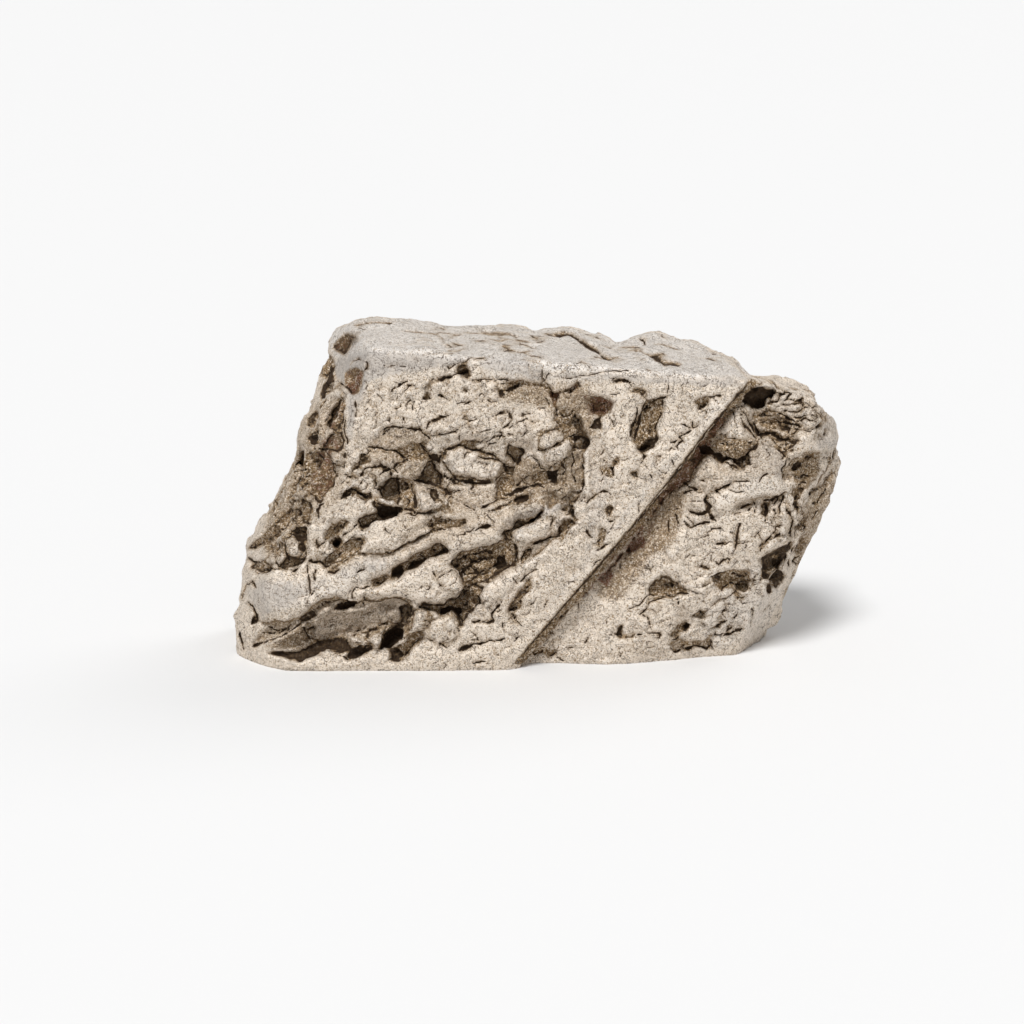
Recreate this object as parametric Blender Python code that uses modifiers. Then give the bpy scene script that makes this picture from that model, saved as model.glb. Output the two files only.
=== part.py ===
"""Iron meteorite: a fragment of coarse nickel-iron, torn apart along its crystal plates.

It is one natural piece, so it is one solid. A block of stock is cleaved by planes, hollowed by
cutters and roughened, then cut flat where it stands. The broad torn face looks towards -Y, the
length runs along X, and the origin is the middle of the footprint on the surface below it.
All sizes in the tables are millimetres in the stock's own frame.
"""

import math
from dataclasses import dataclass

import bmesh
import bpy
from mathutils import Matrix, Vector

MM = 0.001

# Driving dimensions, in millimetres
STOCK_LOW = Vector((-18.4, -7.3, -1.2))
STOCK_HIGH = Vector((18.1, 7.0, 19.6))
FRONT_Y = -6.5
EDGE_ROUND = 0.45
EDGE_ROUND_STEPS = 2
VOXEL = 0.30
TRIANGLE_SHARE = 0.145

# The raised diagonal band ends at a straight edge, and the block to its right is set back
BAND_EDGE_TOP = Vector((12.0, 0.0, 17.4))
BAND_EDGE_FOOT = Vector((-1.3, 0.0, 0.45))
SETBACK_TOP = 1.15
SETBACK_FOOT = 0.55
WALL_LEAN = 0.35
SETBACK_REACH = 24.0
SETBACK_OVERRUN = 3.0
SLOT_HALF_WIDTH = 0.40
SLOT_EXTRA_DEPTH = 0.75
# Shares of the edge's length: where the slot is deepest, and how far it runs to each side of that
SLOT_MIDDLE, SLOT_REACH = 0.40, 0.56

# Two sizes of uneven relief over the whole surface: wave size and height
COARSE_WAVE, COARSE_HEIGHT = 2.6, 0.55
FINE_WAVE, FINE_HEIGHT = 0.95, 0.28

GROUND_SIZE = 60.0
SAME_POINT = 1e-8
HOLLOW_FACETS, SLOT_FACETS = 2, 3

NICKEL_IRON = {"colour": (0.42, 0.36, 0.30, 1.0), "roughness": 0.55, "metallic": 0.6}


@dataclass(frozen=True)
class Cleave:
    """A plane that takes away everything on the side its normal points to."""

    name: str
    point: tuple
    normal: tuple


@dataclass(frozen=True)
class Hollow:
    """A rounded, faceted cutter: half sizes along X, Y and Z, and a tilt about Y in degrees."""

    name: str
    centre: tuple
    half: tuple
    tilt: float = 0.0


@dataclass(frozen=True)
class Ledge:
    """A box cutter that leaves a step: half sizes along X, Y and Z, then a tilt about Y and a turn about Z."""

    name: str
    centre: tuple
    half: tuple
    tilt: float = 0.0
    turn: float = 0.0


CLEAVES = (
    Cleave("front face", (0.0, -6.75, 8.0), (0.02, -1.0, 0.035)),
    Cleave("front foot, right", (6.0, -5.45, 0.0), (0.28, -0.92, -0.25)),
    Cleave("front foot, left", (-16.3, -6.0, 1.0), (-0.74, -0.66, -0.14)),
    Cleave("top", (2.0, 0.0, 18.15), (0.08, -0.03, 1.0)),
    Cleave("top, right slope", (9.3, 0.0, 17.9), (0.44, 0.06, 1.0)),
    Cleave("top, back edge", (0.0, 5.4, 18.2), (0.05, 0.62, 0.78)),
    Cleave("right shoulder", (16.6, 0.0, 15.0), (0.76, 0.0, 0.65)),
    Cleave("right upper side", (17.45, 0.0, 13.3), (0.93, 0.06, 0.30)),
    Cleave("right side", (17.8, 0.0, 11.5), (1.0, 0.10, -0.05)),
    Cleave("right undercut", (16.6, 0.0, 7.7), (0.94, 0.12, -0.34)),
    Cleave("right front foot", (13.7, 0.0, 0.7), (0.81, -0.42, -0.41)),
    Cleave("right front facet", (14.7, -5.0, 10.0), (0.80, -0.58, -0.12)),
    Cleave("left facet", (-13.4, 2.0, 16.1), (-0.89, -0.22, 0.40)),
    Cleave("left foot", (-18.2, 0.0, 3.0), (-1.0, -0.05, 0.05)),
    Cleave("back face", (0.0, 6.3, 9.0), (0.05, 1.0, 0.10)),
    Cleave("back left facet", (-12.5, 5.2, 8.0), (-0.50, 0.85, 0.12)),
    Cleave("back right facet", (11.0, 4.7, 5.0), (0.45, 0.82, -0.30)),
    Cleave("back foot", (-3.0, 5.8, 1.4), (-0.10, 0.80, -0.55)),
)

HOLLOWS = (
    # Broad torn face, upper part
    Hollow("middle hollow", (-3.2, -7.6, 11.8), (6.4, 1.75, 2.9), 6),
    Hollow("notch by the band", (2.9, -6.9, 15.5), (1.5, 1.1, 0.9), -20),
    Hollow("pit in the band", (6.4, -6.9, 14.2), (0.55, 1.0, 2.0), -15),
    Hollow("dark pit, left", (-8.6, -6.5, 10.8), (1.05, 1.3, 0.65), 8),
    Hollow("dark pit, middle", (-6.2, -6.3, 11.7), (1.1, 1.1, 0.45), -28),
    Hollow("dark pit, right", (-1.2, -6.3, 13.0), (0.8, 1.1, 0.5), -35),
    Hollow("ragged edge of the band", (3.0, -6.7, 12.4), (0.55, 0.9, 2.4), -5),
    Hollow("chip under the top lip", (-2.2, -6.7, 17.0), (2.2, 0.8, 0.35), 4),
    # Broad torn face, lower part
    Hollow("long cavity", (-11.7, -7.0, 2.55), (4.6, 1.5, 0.75), -20),
    Hollow("foot cavity", (-12.1, -7.1, 1.25), (2.6, 1.1, 0.35), -7),
    Hollow("foot pit", (-8.8, -7.0, 1.9), (1.0, 1.4, 0.55), -62),
    Hollow("pit below the plates", (-4.5, -6.9, 4.1), (1.5, 1.3, 0.55), 14),
    Hollow("plate gap 1", (-12.7, -6.9, 6.7), (3.3, 0.8, 0.28), -19),
    Hollow("plate gap 2", (-9.7, -6.8, 8.8), (3.2, 0.8, 0.30), -20),
    Hollow("plate gap 3", (-6.6, -6.8, 7.1), (3.6, 0.9, 0.32), -22),
    Hollow("plate gap 4", (-2.4, -6.8, 5.9), (3.7, 0.9, 0.30), -33),
    Hollow("plate gap 5", (-1.0, -6.7, 8.9), (3.8, 0.9, 0.34), -24),
    Hollow("plate gap 6", (-13.2, -6.9, 4.4), (3.0, 0.8, 0.26), -22),
    # Block to the right of the band
    Hollow("upper right hollow", (13.9, -5.9, 14.9), (2.9, 1.9, 2.3), -35),
    Hollow("dark pit by the facet", (13.8, -5.6, 5.7), (0.85, 1.6, 1.45), -12),
    Hollow("pit low in the block", (7.6, -6.1, 4.9), (1.25, 0.9, 0.5), 4),
    Hollow("pit low, right", (11.6, -5.6, 4.9), (0.95, 1.0, 0.75), 0),
    Hollow("pit near the foot", (8.4, -5.7, 2.6), (0.6, 1.0, 1.0), -30),
    Hollow("small pit near the foot", (5.0, -6.4, 2.3), (0.7, 0.7, 0.45), 0),
    Hollow("pit under the band edge", (11.0, -5.9, 12.6), (1.5, 0.9, 0.9), 10),
    # Left facet and its edges
    Hollow("left facet, wide scoop", (-28.0, 0.0, 18.0), (15.3, 40.0, 15.3), 0),
    Hollow("left facet, upper pit", (-12.2, -4.6, 14.6), (0.7, 0.9, 1.3), 0),
    Hollow("left facet, middle pit", (-12.5, -4.2, 12.7), (0.9, 1.0, 0.8), 0),
    Hollow("left facet, large pit", (-14.3, -2.0, 10.9), (1.5, 2.0, 1.3), 20),
    Hollow("left facet, back pit", (-14.6, 2.6, 12.6), (1.0, 1.6, 2.2), 15),
    Hollow("corner notch", (-12.3, -3.6, 18.5), (0.8, 1.3, 0.7), 0),
    Hollow("left shoulder gap", (-15.9, -3.8, 8.3), (2.6, 1.3, 0.45), -35),
    Hollow("left foot gap", (-18.1, -2.0, 4.9), (1.2, 3.2, 0.5), -10),
    # Top
    Hollow("top ledge, left", (3.2, 1.2, 18.45), (2.4, 3.0, 0.45), 12),
    Hollow("top ledge, right", (8.6, 1.4, 18.0), (1.7, 3.4, 0.45), 22),
    Hollow("gap behind the band corner", (13.4, -0.5, 16.9), (1.1, 6.5, 0.8), 24),
    # Back
    Hollow("back plate gap 1", (-4.0, 5.6, 12.0), (4.6, 1.3, 0.45), 32),
    Hollow("back plate gap 2", (2.0, 6.2, 9.6), (5.6, 1.2, 0.50), 32),
    Hollow("back plate gap 3", (5.4, 5.8, 12.6), (4.2, 1.1, 0.40), 32),
    Hollow("back hollow", (-6.5, 7.2, 5.6), (3.6, 1.9, 2.4), -15),
    Hollow("back pit", (4.2, 6.2, 4.3), (1.7, 1.3, 1.1), 20),
    Hollow("back right pit", (13.4, 4.3, 9.2), (1.3, 1.3, 1.9), 10),
)

LEDGES = (
    Ledge("back ledge, high", (-9.0, 7.5, 15.4), (9.5, 2.2, 4.6), 32, -3),
    Ledge("back ledge, middle", (10.5, 7.2, 14.5), (7.5, 2.2, 3.8), 32, 4),
    Ledge("back ledge, low", (6.5, 7.4, 0.6), (9.0, 1.7, 3.2), 32, 3),
    Ledge("back ledge, foot", (-13.0, 7.0, 2.2), (4.2, 1.9, 2.4), -28, 0),
    Ledge("right side ledge", (18.6, 4.5, 13.0), (1.6, 3.2, 3.4), -20, 8),
    Ledge("left side ledge", (-15.6, 4.4, 15.0), (2.2, 3.0, 3.0), 24, -14),
    Ledge("top ledge, back left", (-7.5, 5.0, 19.1), (4.6, 2.2, 0.75), 3, 12),
)


def clear_scene():
    """Remove every object of the startup scene."""
    for item in list(bpy.data.objects):
        bpy.data.objects.remove(item, do_unlink=True)


def new_collection(name):
    """Add a collection to the scene."""
    collection = bpy.data.collections.new(name)
    bpy.context.scene.collection.children.link(collection)
    return collection


def object_from(shape, name, collection):
    """Turn a bmesh into an object in a collection."""
    bmesh.ops.recalc_face_normals(shape, faces=shape.faces)
    mesh = bpy.data.meshes.new(name)
    shape.to_mesh(mesh)
    shape.free()
    item = bpy.data.objects.new(name, mesh)
    collection.objects.link(item)
    return item


def metal(name, finish):
    """Make the plain nickel-iron material."""
    material = bpy.data.materials.new(name)
    material.use_nodes = True
    shader = material.node_tree.nodes["Principled BSDF"]
    shader.inputs["Base Color"].default_value = finish["colour"]
    shader.inputs["Roughness"].default_value = finish["roughness"]
    shader.inputs["Metallic"].default_value = finish["metallic"]
    return material


def cube(low, high):
    """A box between two corners given in millimetres."""
    shape = bmesh.new()
    bmesh.ops.create_cube(shape, size=1.0)
    bmesh.ops.scale(shape, vec=(high - low) * MM, verts=shape.verts)
    bmesh.ops.translate(shape, vec=(high + low) * 0.5 * MM, verts=shape.verts)
    return shape


def cleave(shape, cut):
    """Take off one side of a plane and close the new face."""
    bmesh.ops.bisect_plane(
        shape,
        geom=shape.verts[:] + shape.edges[:] + shape.faces[:],
        dist=SAME_POINT,
        plane_co=Vector(cut.point) * MM,
        plane_no=Vector(cut.normal).normalized(),
        clear_outer=True,
    )
    rim = [edge for edge in shape.edges if edge.is_boundary]
    if rim:
        bmesh.ops.contextual_create(shape, geom=rim)


def cleaved_block(collection):
    """The stock, cut to the fragment's main faces, with rounded edges."""
    shape = cube(STOCK_LOW, STOCK_HIGH)
    for cut in CLEAVES:
        cleave(shape, cut)
    block = object_from(shape, "meteorite", collection)
    rounding = block.modifiers.new("rounded edges", "BEVEL")
    rounding.width = EDGE_ROUND * MM
    rounding.segments = EDGE_ROUND_STEPS
    rounding.limit_method = "ANGLE"
    return block


def keep_as_cutter(item):
    """Show an object as a cutter only."""
    item.hide_render = True
    item.display_type = "WIRE"


def stretch(half):
    """The matrix that stretches a unit ball to three half sizes in millimetres."""
    return Matrix.Diagonal((half.x * MM, half.y * MM, half.z * MM, 1.0))


def hollow_cutter(hollow, collection):
    """A stretched ball that hollows the block out."""
    shape = bmesh.new()
    bmesh.ops.create_icosphere(shape, subdivisions=HOLLOW_FACETS, radius=1.0)
    place = (
        Matrix.Translation(Vector(hollow.centre) * MM)
        @ Matrix.Rotation(math.radians(hollow.tilt), 4, "Y")
        @ stretch(Vector(hollow.half))
    )
    bmesh.ops.transform(shape, matrix=place, verts=shape.verts)
    keep_as_cutter(object_from(shape, hollow.name, collection))


def ledge_cutter(ledge, collection):
    """A box that breaks a step out of the block."""
    half = Vector(ledge.half)
    shape = cube(-half, half)
    place = (
        Matrix.Translation(Vector(ledge.centre) * MM)
        @ Matrix.Rotation(math.radians(ledge.turn), 4, "Z")
        @ Matrix.Rotation(math.radians(ledge.tilt), 4, "Y")
    )
    bmesh.ops.transform(shape, matrix=place, verts=shape.verts)
    keep_as_cutter(object_from(shape, ledge.name, collection))


def band_frame():
    """The frame of the band's edge: X down the edge, Y into the face, Z away from the band."""
    along = (BAND_EDGE_FOOT - BAND_EDGE_TOP).normalized()
    inward = Vector((0.0, 1.0, 0.0))
    away = along.cross(inward)
    turn = Matrix((along, inward, away)).transposed().to_4x4()
    return Matrix.Translation((BAND_EDGE_TOP + Vector((0.0, FRONT_Y, 0.0))) * MM) @ turn


def setback_cutter(collection):
    """The wide cutter that sets the right-hand block back, with a leaning wall and a tapering depth."""
    length = (BAND_EDGE_FOOT - BAND_EDGE_TOP).length
    low = Vector((-SETBACK_OVERRUN, -SETBACK_OVERRUN, 0.0))
    high = Vector((length + SETBACK_OVERRUN, SETBACK_TOP, SETBACK_REACH))
    shape = cube(low, high)
    for vert in shape.verts:
        is_deep = vert.co.y > 0.0
        is_at_foot = vert.co.x > 0.0
        is_at_wall = vert.co.z < high.z * MM * 0.5
        if is_deep and is_at_foot:
            vert.co.y = SETBACK_FOOT * MM
        if is_deep and is_at_wall:
            vert.co.z += WALL_LEAN * MM
    bmesh.ops.transform(shape, matrix=band_frame(), verts=shape.verts)
    keep_as_cutter(object_from(shape, "setback of the right block", collection))


def slot_cutter(collection):
    """The narrow slot at the foot of the band's wall, deepest near its upper end."""
    length = (BAND_EDGE_FOOT - BAND_EDGE_TOP).length
    shape = bmesh.new()
    bmesh.ops.create_icosphere(shape, subdivisions=SLOT_FACETS, radius=1.0)
    half = Vector((length * SLOT_REACH, SETBACK_TOP * 0.5 + SLOT_EXTRA_DEPTH, SLOT_HALF_WIDTH))
    centre = Vector((length * SLOT_MIDDLE, SETBACK_TOP * 0.5, WALL_LEAN + SLOT_HALF_WIDTH * 0.5))
    place = Matrix.Translation(centre * MM) @ stretch(half)
    bmesh.ops.transform(shape, matrix=band_frame() @ place, verts=shape.verts)
    keep_as_cutter(object_from(shape, "slot beside the band", collection))


def break_away(block, collection):
    """Cut every hollow and ledge, the setback and the slot from the block."""
    setback_cutter(collection)
    for ledge in LEDGES:
        ledge_cutter(ledge, collection)
    for hollow in HOLLOWS:
        hollow_cutter(hollow, collection)
    slot_cutter(collection)
    for tool in collection.objects:
        cut = block.modifiers.new(tool.name, "BOOLEAN")
        cut.operation = "DIFFERENCE"
        cut.solver = "EXACT"
        cut.object = tool


def roughen(block):
    """Cover the surface with uneven relief of two sizes, then thin the flat parts of the mesh."""
    skin = block.modifiers.new("even skin", "REMESH")
    skin.mode = "VOXEL"
    skin.voxel_size = VOXEL * MM
    for name, wave, height in (
        ("coarse relief", COARSE_WAVE, COARSE_HEIGHT),
        ("fine relief", FINE_WAVE, FINE_HEIGHT),
    ):
        pattern = bpy.data.textures.new(name, "CLOUDS")
        pattern.noise_scale = wave * MM
        pattern.noise_depth = 2
        relief = block.modifiers.new(name, "DISPLACE")
        relief.texture = pattern
        relief.texture_coords = "LOCAL"
        relief.strength = height * MM
    thin = block.modifiers.new("fewer triangles", "DECIMATE")
    thin.ratio = TRIANGLE_SHARE
    thin.use_collapse_triangulate = True


def cut_flat(block, collection):
    """Cut the underside flat, where the fragment stands."""
    half = GROUND_SIZE * 0.5
    shape = cube(Vector((-half, -half, -GROUND_SIZE)), Vector((half, half, 0.0)))
    ground = object_from(shape, "level ground", collection)
    keep_as_cutter(ground)
    cut = block.modifiers.new("flat underside", "BOOLEAN")
    cut.operation = "DIFFERENCE"
    cut.solver = "EXACT"
    cut.object = ground


def stand_on_origin(block, items):
    """Hang everything on an empty, moved so that the middle of the bounding box is over the origin."""
    bpy.context.view_layer.update()
    evaluated = block.evaluated_get(bpy.context.evaluated_depsgraph_get())
    corners = [Vector(corner) for corner in evaluated.bound_box]
    middle = sum(corners, Vector()) / len(corners)
    anchor = bpy.data.objects.new("rest point", None)
    bpy.context.scene.collection.objects.link(anchor)
    for item in items:
        item.parent = anchor
    anchor.location = (-middle.x, -middle.y, 0.0)


def main():
    """Build the fragment."""
    clear_scene()
    parts = new_collection("iron meteorite")
    cutters = new_collection("cutters")
    block = cleaved_block(parts)
    block.data.materials.append(metal("nickel iron", NICKEL_IRON))
    break_away(block, cutters)
    roughen(block)
    cut_flat(block, cutters)
    block.data.shade_flat()
    stand_on_origin(block, [block, *cutters.objects])


main()
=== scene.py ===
import logging
import math
from collections.abc import Iterator
from dataclasses import dataclass, field, replace
from enum import Enum

import bmesh
import bpy
import numpy as np
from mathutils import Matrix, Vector

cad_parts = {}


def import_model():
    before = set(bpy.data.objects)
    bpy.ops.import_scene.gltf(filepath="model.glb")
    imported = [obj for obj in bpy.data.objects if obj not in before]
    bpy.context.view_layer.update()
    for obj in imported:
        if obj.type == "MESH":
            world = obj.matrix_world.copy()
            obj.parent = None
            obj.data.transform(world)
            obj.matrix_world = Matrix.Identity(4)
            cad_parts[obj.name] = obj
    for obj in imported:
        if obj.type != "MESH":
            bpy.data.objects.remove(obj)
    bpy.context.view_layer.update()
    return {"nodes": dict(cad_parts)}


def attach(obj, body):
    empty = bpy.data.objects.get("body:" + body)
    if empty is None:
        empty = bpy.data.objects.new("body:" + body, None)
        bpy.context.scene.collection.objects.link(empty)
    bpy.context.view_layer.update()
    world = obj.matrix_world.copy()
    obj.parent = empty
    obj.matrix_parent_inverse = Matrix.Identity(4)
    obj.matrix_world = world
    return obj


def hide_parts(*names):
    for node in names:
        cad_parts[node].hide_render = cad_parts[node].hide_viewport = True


MM = 0.001
LOG = logging.getLogger("meteorite")
Array = np.ndarray


# ---- Sizes, in millimetres ----


@dataclass(frozen=True)
class Meshing:
    """How finely the skin is meshed at each stage.

    Attributes:
        first_voxel: Voxel size under the broad strokes.
        second_voxel: Voxel size under the fine strokes.
        triangles: Triangles left at the end.
        seen_share: Share of them on the seen side.
    """

    first_voxel: float = 0.16
    second_voxel: float = 0.078
    triangles: int = 196000
    seen_share: float = 0.72


@dataclass(frozen=True)
class Viewpoint:
    """Where the camera stands and what its sheet measures.

    Attributes:
        lens: Focal length.
        sensor: Sensor width.
        elevation: Angle above the horizon, in degrees.
        target: The point that the camera looks at.
        distance: From the camera to the target.
        sheet: Width of the drawing sheet in sheet units.
    """

    lens: float = 100.0
    sensor: float = 36.0
    elevation: float = 13.0
    target: tuple = (-1.53, 0.0, 7.91)
    distance: float = 171.0
    sheet: float = 1024.0

    def axes(self) -> Array:
        """Give the camera's forward, right and up directions as rows of an array."""
        tilt = math.radians(self.elevation)
        return np.array(((0.0, math.cos(tilt), -math.sin(tilt)), (1.0, 0.0, 0.0),
                         (0.0, math.sin(tilt), math.cos(tilt))))

    def place(self) -> Array:
        """Give the camera's place."""
        return np.array(self.target) - self.distance * self.axes()[0]


class Side(Enum):
    """The sides of the fragment that strokes are drawn on."""

    FRONT = "front"
    LEFT = "left"
    RIGHT = "right"
    BACK = "back"


# ---- Noise and small helpers ----


def smooth_step(low: float, high: float, value: Array) -> Array:
    """Rise smoothly from 0 at low to 1 at high."""
    share = np.clip((value - low) / (high - low), 0.0, 1.0)
    return share * share * (3.0 - 2.0 * share)


def as_places(line: tuple | Array) -> Array:
    """Read a line's numbers, across and down in turn, as rows of two."""
    return np.reshape(np.asarray(line, float), (-1, 2))


def dotted(first: Array, second: Array) -> Array:
    """Give the dot product of each pair of rows."""
    return np.einsum("ij,ij->i", first, second)


def of_length_one(rows: Array) -> Array:
    """Scale each row to length 1."""
    return rows / np.maximum(np.linalg.norm(rows, axis=1), 1e-9)[:, None]


class Ripple:
    """Smooth repeatable noise on a plane, from -1 to 1."""

    SIZE = 256

    def __init__(self, seed: int) -> None:
        """Fill the lattice; the seed fixes the pattern."""
        self.lattice = np.random.default_rng(seed).uniform(-1.0, 1.0, (self.SIZE, self.SIZE))

    def at(self, u: Array, v: Array) -> Array:
        """Read the noise, with one lattice cell for each unit.

        Args:
            u: Distance across, for each point.
            v: Distance down, for each point.

        Returns:
            The noise at each point.
        """
        column = np.floor(u).astype(np.int64)
        row = np.floor(v).astype(np.int64)
        across = u - column
        down = v - row
        across = across * across * (3.0 - 2.0 * across)
        down = down * down * (3.0 - 2.0 * down)
        left, right = column % self.SIZE, (column + 1) % self.SIZE
        top, low = row % self.SIZE, (row + 1) % self.SIZE
        upper = self.lattice[top, left] * (1.0 - across) + self.lattice[top, right] * across
        lower = self.lattice[low, left] * (1.0 - across) + self.lattice[low, right] * across
        return upper * (1.0 - down) + lower * down


# ---- Strokes ----


class Layer(Enum):
    """What a stroke or a wash can leave on the surface.

    Attributes:
        SOOT: Dark oxide, and painted shade in cracks, pits and under steps.
        RUST: Red-brown oxide.
        TAN: Yellow-brown film.
        TORN: Crumpled relief.
        BRIGHT: Bare, paler metal.
        CALM: Ground where relief is held back.
        DULL: Grey worn metal, and painted shade on the rounded shoulders below the top edge.
    """

    SOOT = "soot"
    RUST = "rust"
    TAN = "tan"
    TORN = "torn"
    BRIGHT = "bright"
    CALM = "calm"
    DULL = "grey_wear_and_shade"


@dataclass
class Sheet:
    """What the strokes of one side add up to at each point of the skin, in sheet units.

    Attributes:
        u: Distance across the sheet, shaken so that edges come out uneven.
        v: Distance down the sheet, shaken in the same way.
        true_u: Distance across the sheet.
        true_v: Distance down the sheet.
        height: Relief towards the viewer.
        layers: Share of each layer at each point, 0 to 1.
        uneven: Factor on the width of grooves.
    """

    u: Array
    v: Array
    true_u: Array
    true_v: Array
    height: Array = field(init=False)
    layers: dict[str, Array] = field(init=False)
    uneven: Array = field(init=False)

    def __post_init__(self) -> None:
        """Start the relief and every layer at nothing."""
        self.height = np.zeros(len(self.u))
        self.layers = {layer.value: np.zeros(len(self.u)) for layer in Layer}
        self.uneven = 1.0 + 0.55 * Ripple(23).at(self.u / 6.5, self.v / 6.5)

    def near(self, outline: tuple | Array, reach: float) -> Array:
        """Find the points close to a line.

        Args:
            outline: The line's corners.
            reach: How far past the line's box points still count.

        Returns:
            The points' numbers.
        """
        line = as_places(outline)
        low, high = line.min(0) - reach, line.max(0) + reach
        inside = (self.u > low[0]) & (self.u < high[0]) & (self.v > low[1]) & (self.v < high[1])
        return np.flatnonzero(inside)

    def stain(self, found: Array, **values: Array) -> None:
        """Deepen layers at some points, each keeping its strongest value.

        Args:
            found: The points' numbers.
            values: The new value of each named layer.
        """
        for name, value in values.items():
            self.layers[name][found] = np.maximum(self.layers[name][found], value)


def along_line(u: Array, v: Array, line: tuple | Array) -> tuple[Array, Array, Array]:
    """Measure points against a line of straight pieces.

    Args:
        u: Distance across, for each point.
        v: Distance down, for each point.
        line: The line's corners.

    Returns:
        Distance, side (positive on the right hand when walking the line) and distance from the nearer end.
    """
    best = np.full(len(u), np.inf)
    side = np.zeros(len(u))
    run = np.zeros(len(u))
    start = 0.0
    corners = as_places(line)
    for (au, av), (bu, bv) in zip(corners[:-1], corners[1:]):
        du, dv = bu - au, bv - av
        length = math.hypot(du, dv)
        share = np.clip(((u - au) * du + (v - av) * dv) / length**2, 0.0, 1.0)
        off_u, off_v = u - au - share * du, v - av - share * dv
        gap = np.hypot(off_u, off_v)
        closer = gap < best
        best = np.where(closer, gap, best)
        side = np.where(closer, (du * off_v - dv * off_u) / length, side)
        run = np.where(closer, start + share * length, run)
        start += length
    return best, np.sign(side) * best, np.minimum(run, start - run)


def inside_outline(u: Array, v: Array, outline: tuple | Array) -> Array:
    """Measure points against a closed outline.

    Args:
        u: Distance across, for each point.
        v: Distance down, for each point.
        outline: The outline's corners.

    Returns:
        Distance from the outline, positive inside.
    """
    corners = as_places(outline)
    gap, _, _ = along_line(u, v, np.vstack((corners, corners[:1])))
    crossings = np.zeros(len(u), bool)
    for (au, av), (bu, bv) in zip(corners, np.roll(corners, -1, 0)):
        if av == bv:
            continue
        between = (av > v) != (bv > v)
        crossings ^= between & (u < (bu - au) * (v - av) / (bv - av) + au)
    return np.where(crossings, gap, -gap)


@dataclass(frozen=True)
class Groove:
    """A crack or groove along a line: full width, depth and how dark it is. The dark core is dark oxide and
    painted shade in the crack.
    """

    line: tuple
    width: float = 3.0
    depth: float = 1.6
    soot: float = 0.8
    rust: float = 0.0

    def draw(self, sheet: Sheet) -> None:
        """Add the groove.

        Args:
            sheet: Where it is drawn.
        """
        found = sheet.near(self.line, 3.0 * self.width)
        gap, _, run = along_line(sheet.u[found], sheet.v[found], self.line)
        taper = 0.35 + 0.65 * smooth_step(0.0, self.width * 1.5, run)
        half = (self.width * 0.36 + 0.35) * taper * sheet.uneven[found]
        shape = 1.0 - smooth_step(0.1, 1.0, gap / half)
        shoulder = np.exp(-(gap / (1.5 * self.width)) ** 2)
        sheet.height[found] -= self.depth * taper * (shape + 0.40 * shoulder)
        # Dark core and brown film: dark oxide, and painted shade in the crack.
        mark = 1.0 - smooth_step(0.2, 1.0, gap / (0.75 * half + 0.2))
        film = np.exp(-(gap / (0.8 * self.width + 0.5)) ** 2) * 0.5 * self.soot * taper
        sheet.stain(found, soot=self.soot * mark, rust=self.rust * mark, tan=film)


def cracks(width: float, depth: float, soot: float, *lines: tuple) -> tuple:
    """Give grooves of one width, depth and darkness, one along each line."""
    return tuple(Groove(line, width, depth, soot) for line in lines)


@dataclass(frozen=True)
class Scarp:
    """A step down to the right of a line, that runs back up over a distance. The dark line at its foot is
    painted shadow under the step, with dark oxide.
    """

    line: tuple
    drop: float = 4.0
    back: float = 14.0
    soot: float = 0.8
    rust: float = 0.0
    tan: float = 0.0
    dark_width: float = 2.6

    def draw(self, sheet: Sheet) -> None:
        """Add the step.

        Args:
            sheet: Where it is drawn.
        """
        found = sheet.near(self.line, self.back + 3.0)
        _, side, run = along_line(sheet.u[found], sheet.v[found], self.line)
        taper = smooth_step(0.0, 8.0, run + 1.0)
        low = smooth_step(-0.9, 0.7, side)
        rise = np.clip(1.0 - np.maximum(side, 0.0) / self.back, 0.0, 1.0) ** 1.4
        lip = np.exp(-((side + 2.5) / 2.5) ** 2)
        sheet.height[found] += taper * (0.18 * self.drop * lip - self.drop * low * rise)
        # Painted shadow: a dark line at the foot of the step, with dark oxide.
        foot = low * np.exp(-(np.maximum(side - 0.5, 0.0) / (0.6 * self.dark_width)) ** 2)
        mark = taper * foot
        wide = taper * low * np.exp(-(np.maximum(side, 0.0) / (2.2 * self.dark_width)) ** 2)
        film = max(self.tan, 0.6 * self.soot)
        sheet.stain(found, soot=self.soot * mark, rust=self.rust * wide, tan=film * wide)


@dataclass(frozen=True)
class Wall:
    """A plate's straight side: a slope down to the right of a line, then lower ground that rises slowly. Its
    dark strip and the darker line along its top edge are painted shade with dark oxide.
    """

    line: tuple
    drop: float = 5.0
    width: float = 9.0
    back: float = 40.0
    lip: float = 1.0
    tan: float = 0.6

    def draw(self, sheet: Sheet) -> None:
        """Add the side, without shaking its edge.

        Args:
            sheet: Where it is drawn.
        """
        found = sheet.near(self.line, self.width + self.back + 4.0)
        _, side, run = along_line(sheet.true_u[found], sheet.true_v[found], self.line)
        taper = smooth_step(0.0, 12.0, run + 4.0)
        fall = np.clip(side / self.width, 0.0, 1.0) ** 0.8
        rise = 1.0 - smooth_step(self.width, self.width + self.back, side)
        lip = self.lip * np.exp(-(np.minimum(side, 0.0) / 5.0) ** 2) * (side < 0.0)
        sheet.height[found] += taper * (lip - self.drop * fall * rise)
        # Painted shade with dark oxide: a dark strip down the slope and a darker line along its top edge.
        strip = smooth_step(-0.4, 0.6, side) * (1.0 - smooth_step(self.width - 1.0, self.width + 1.5, side))
        edge = np.exp(-((side - 0.9) / 1.1) ** 2) * taper
        sheet.stain(found, soot=np.maximum(0.34 * strip, 0.95 * edge), tan=self.tan * strip)


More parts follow.
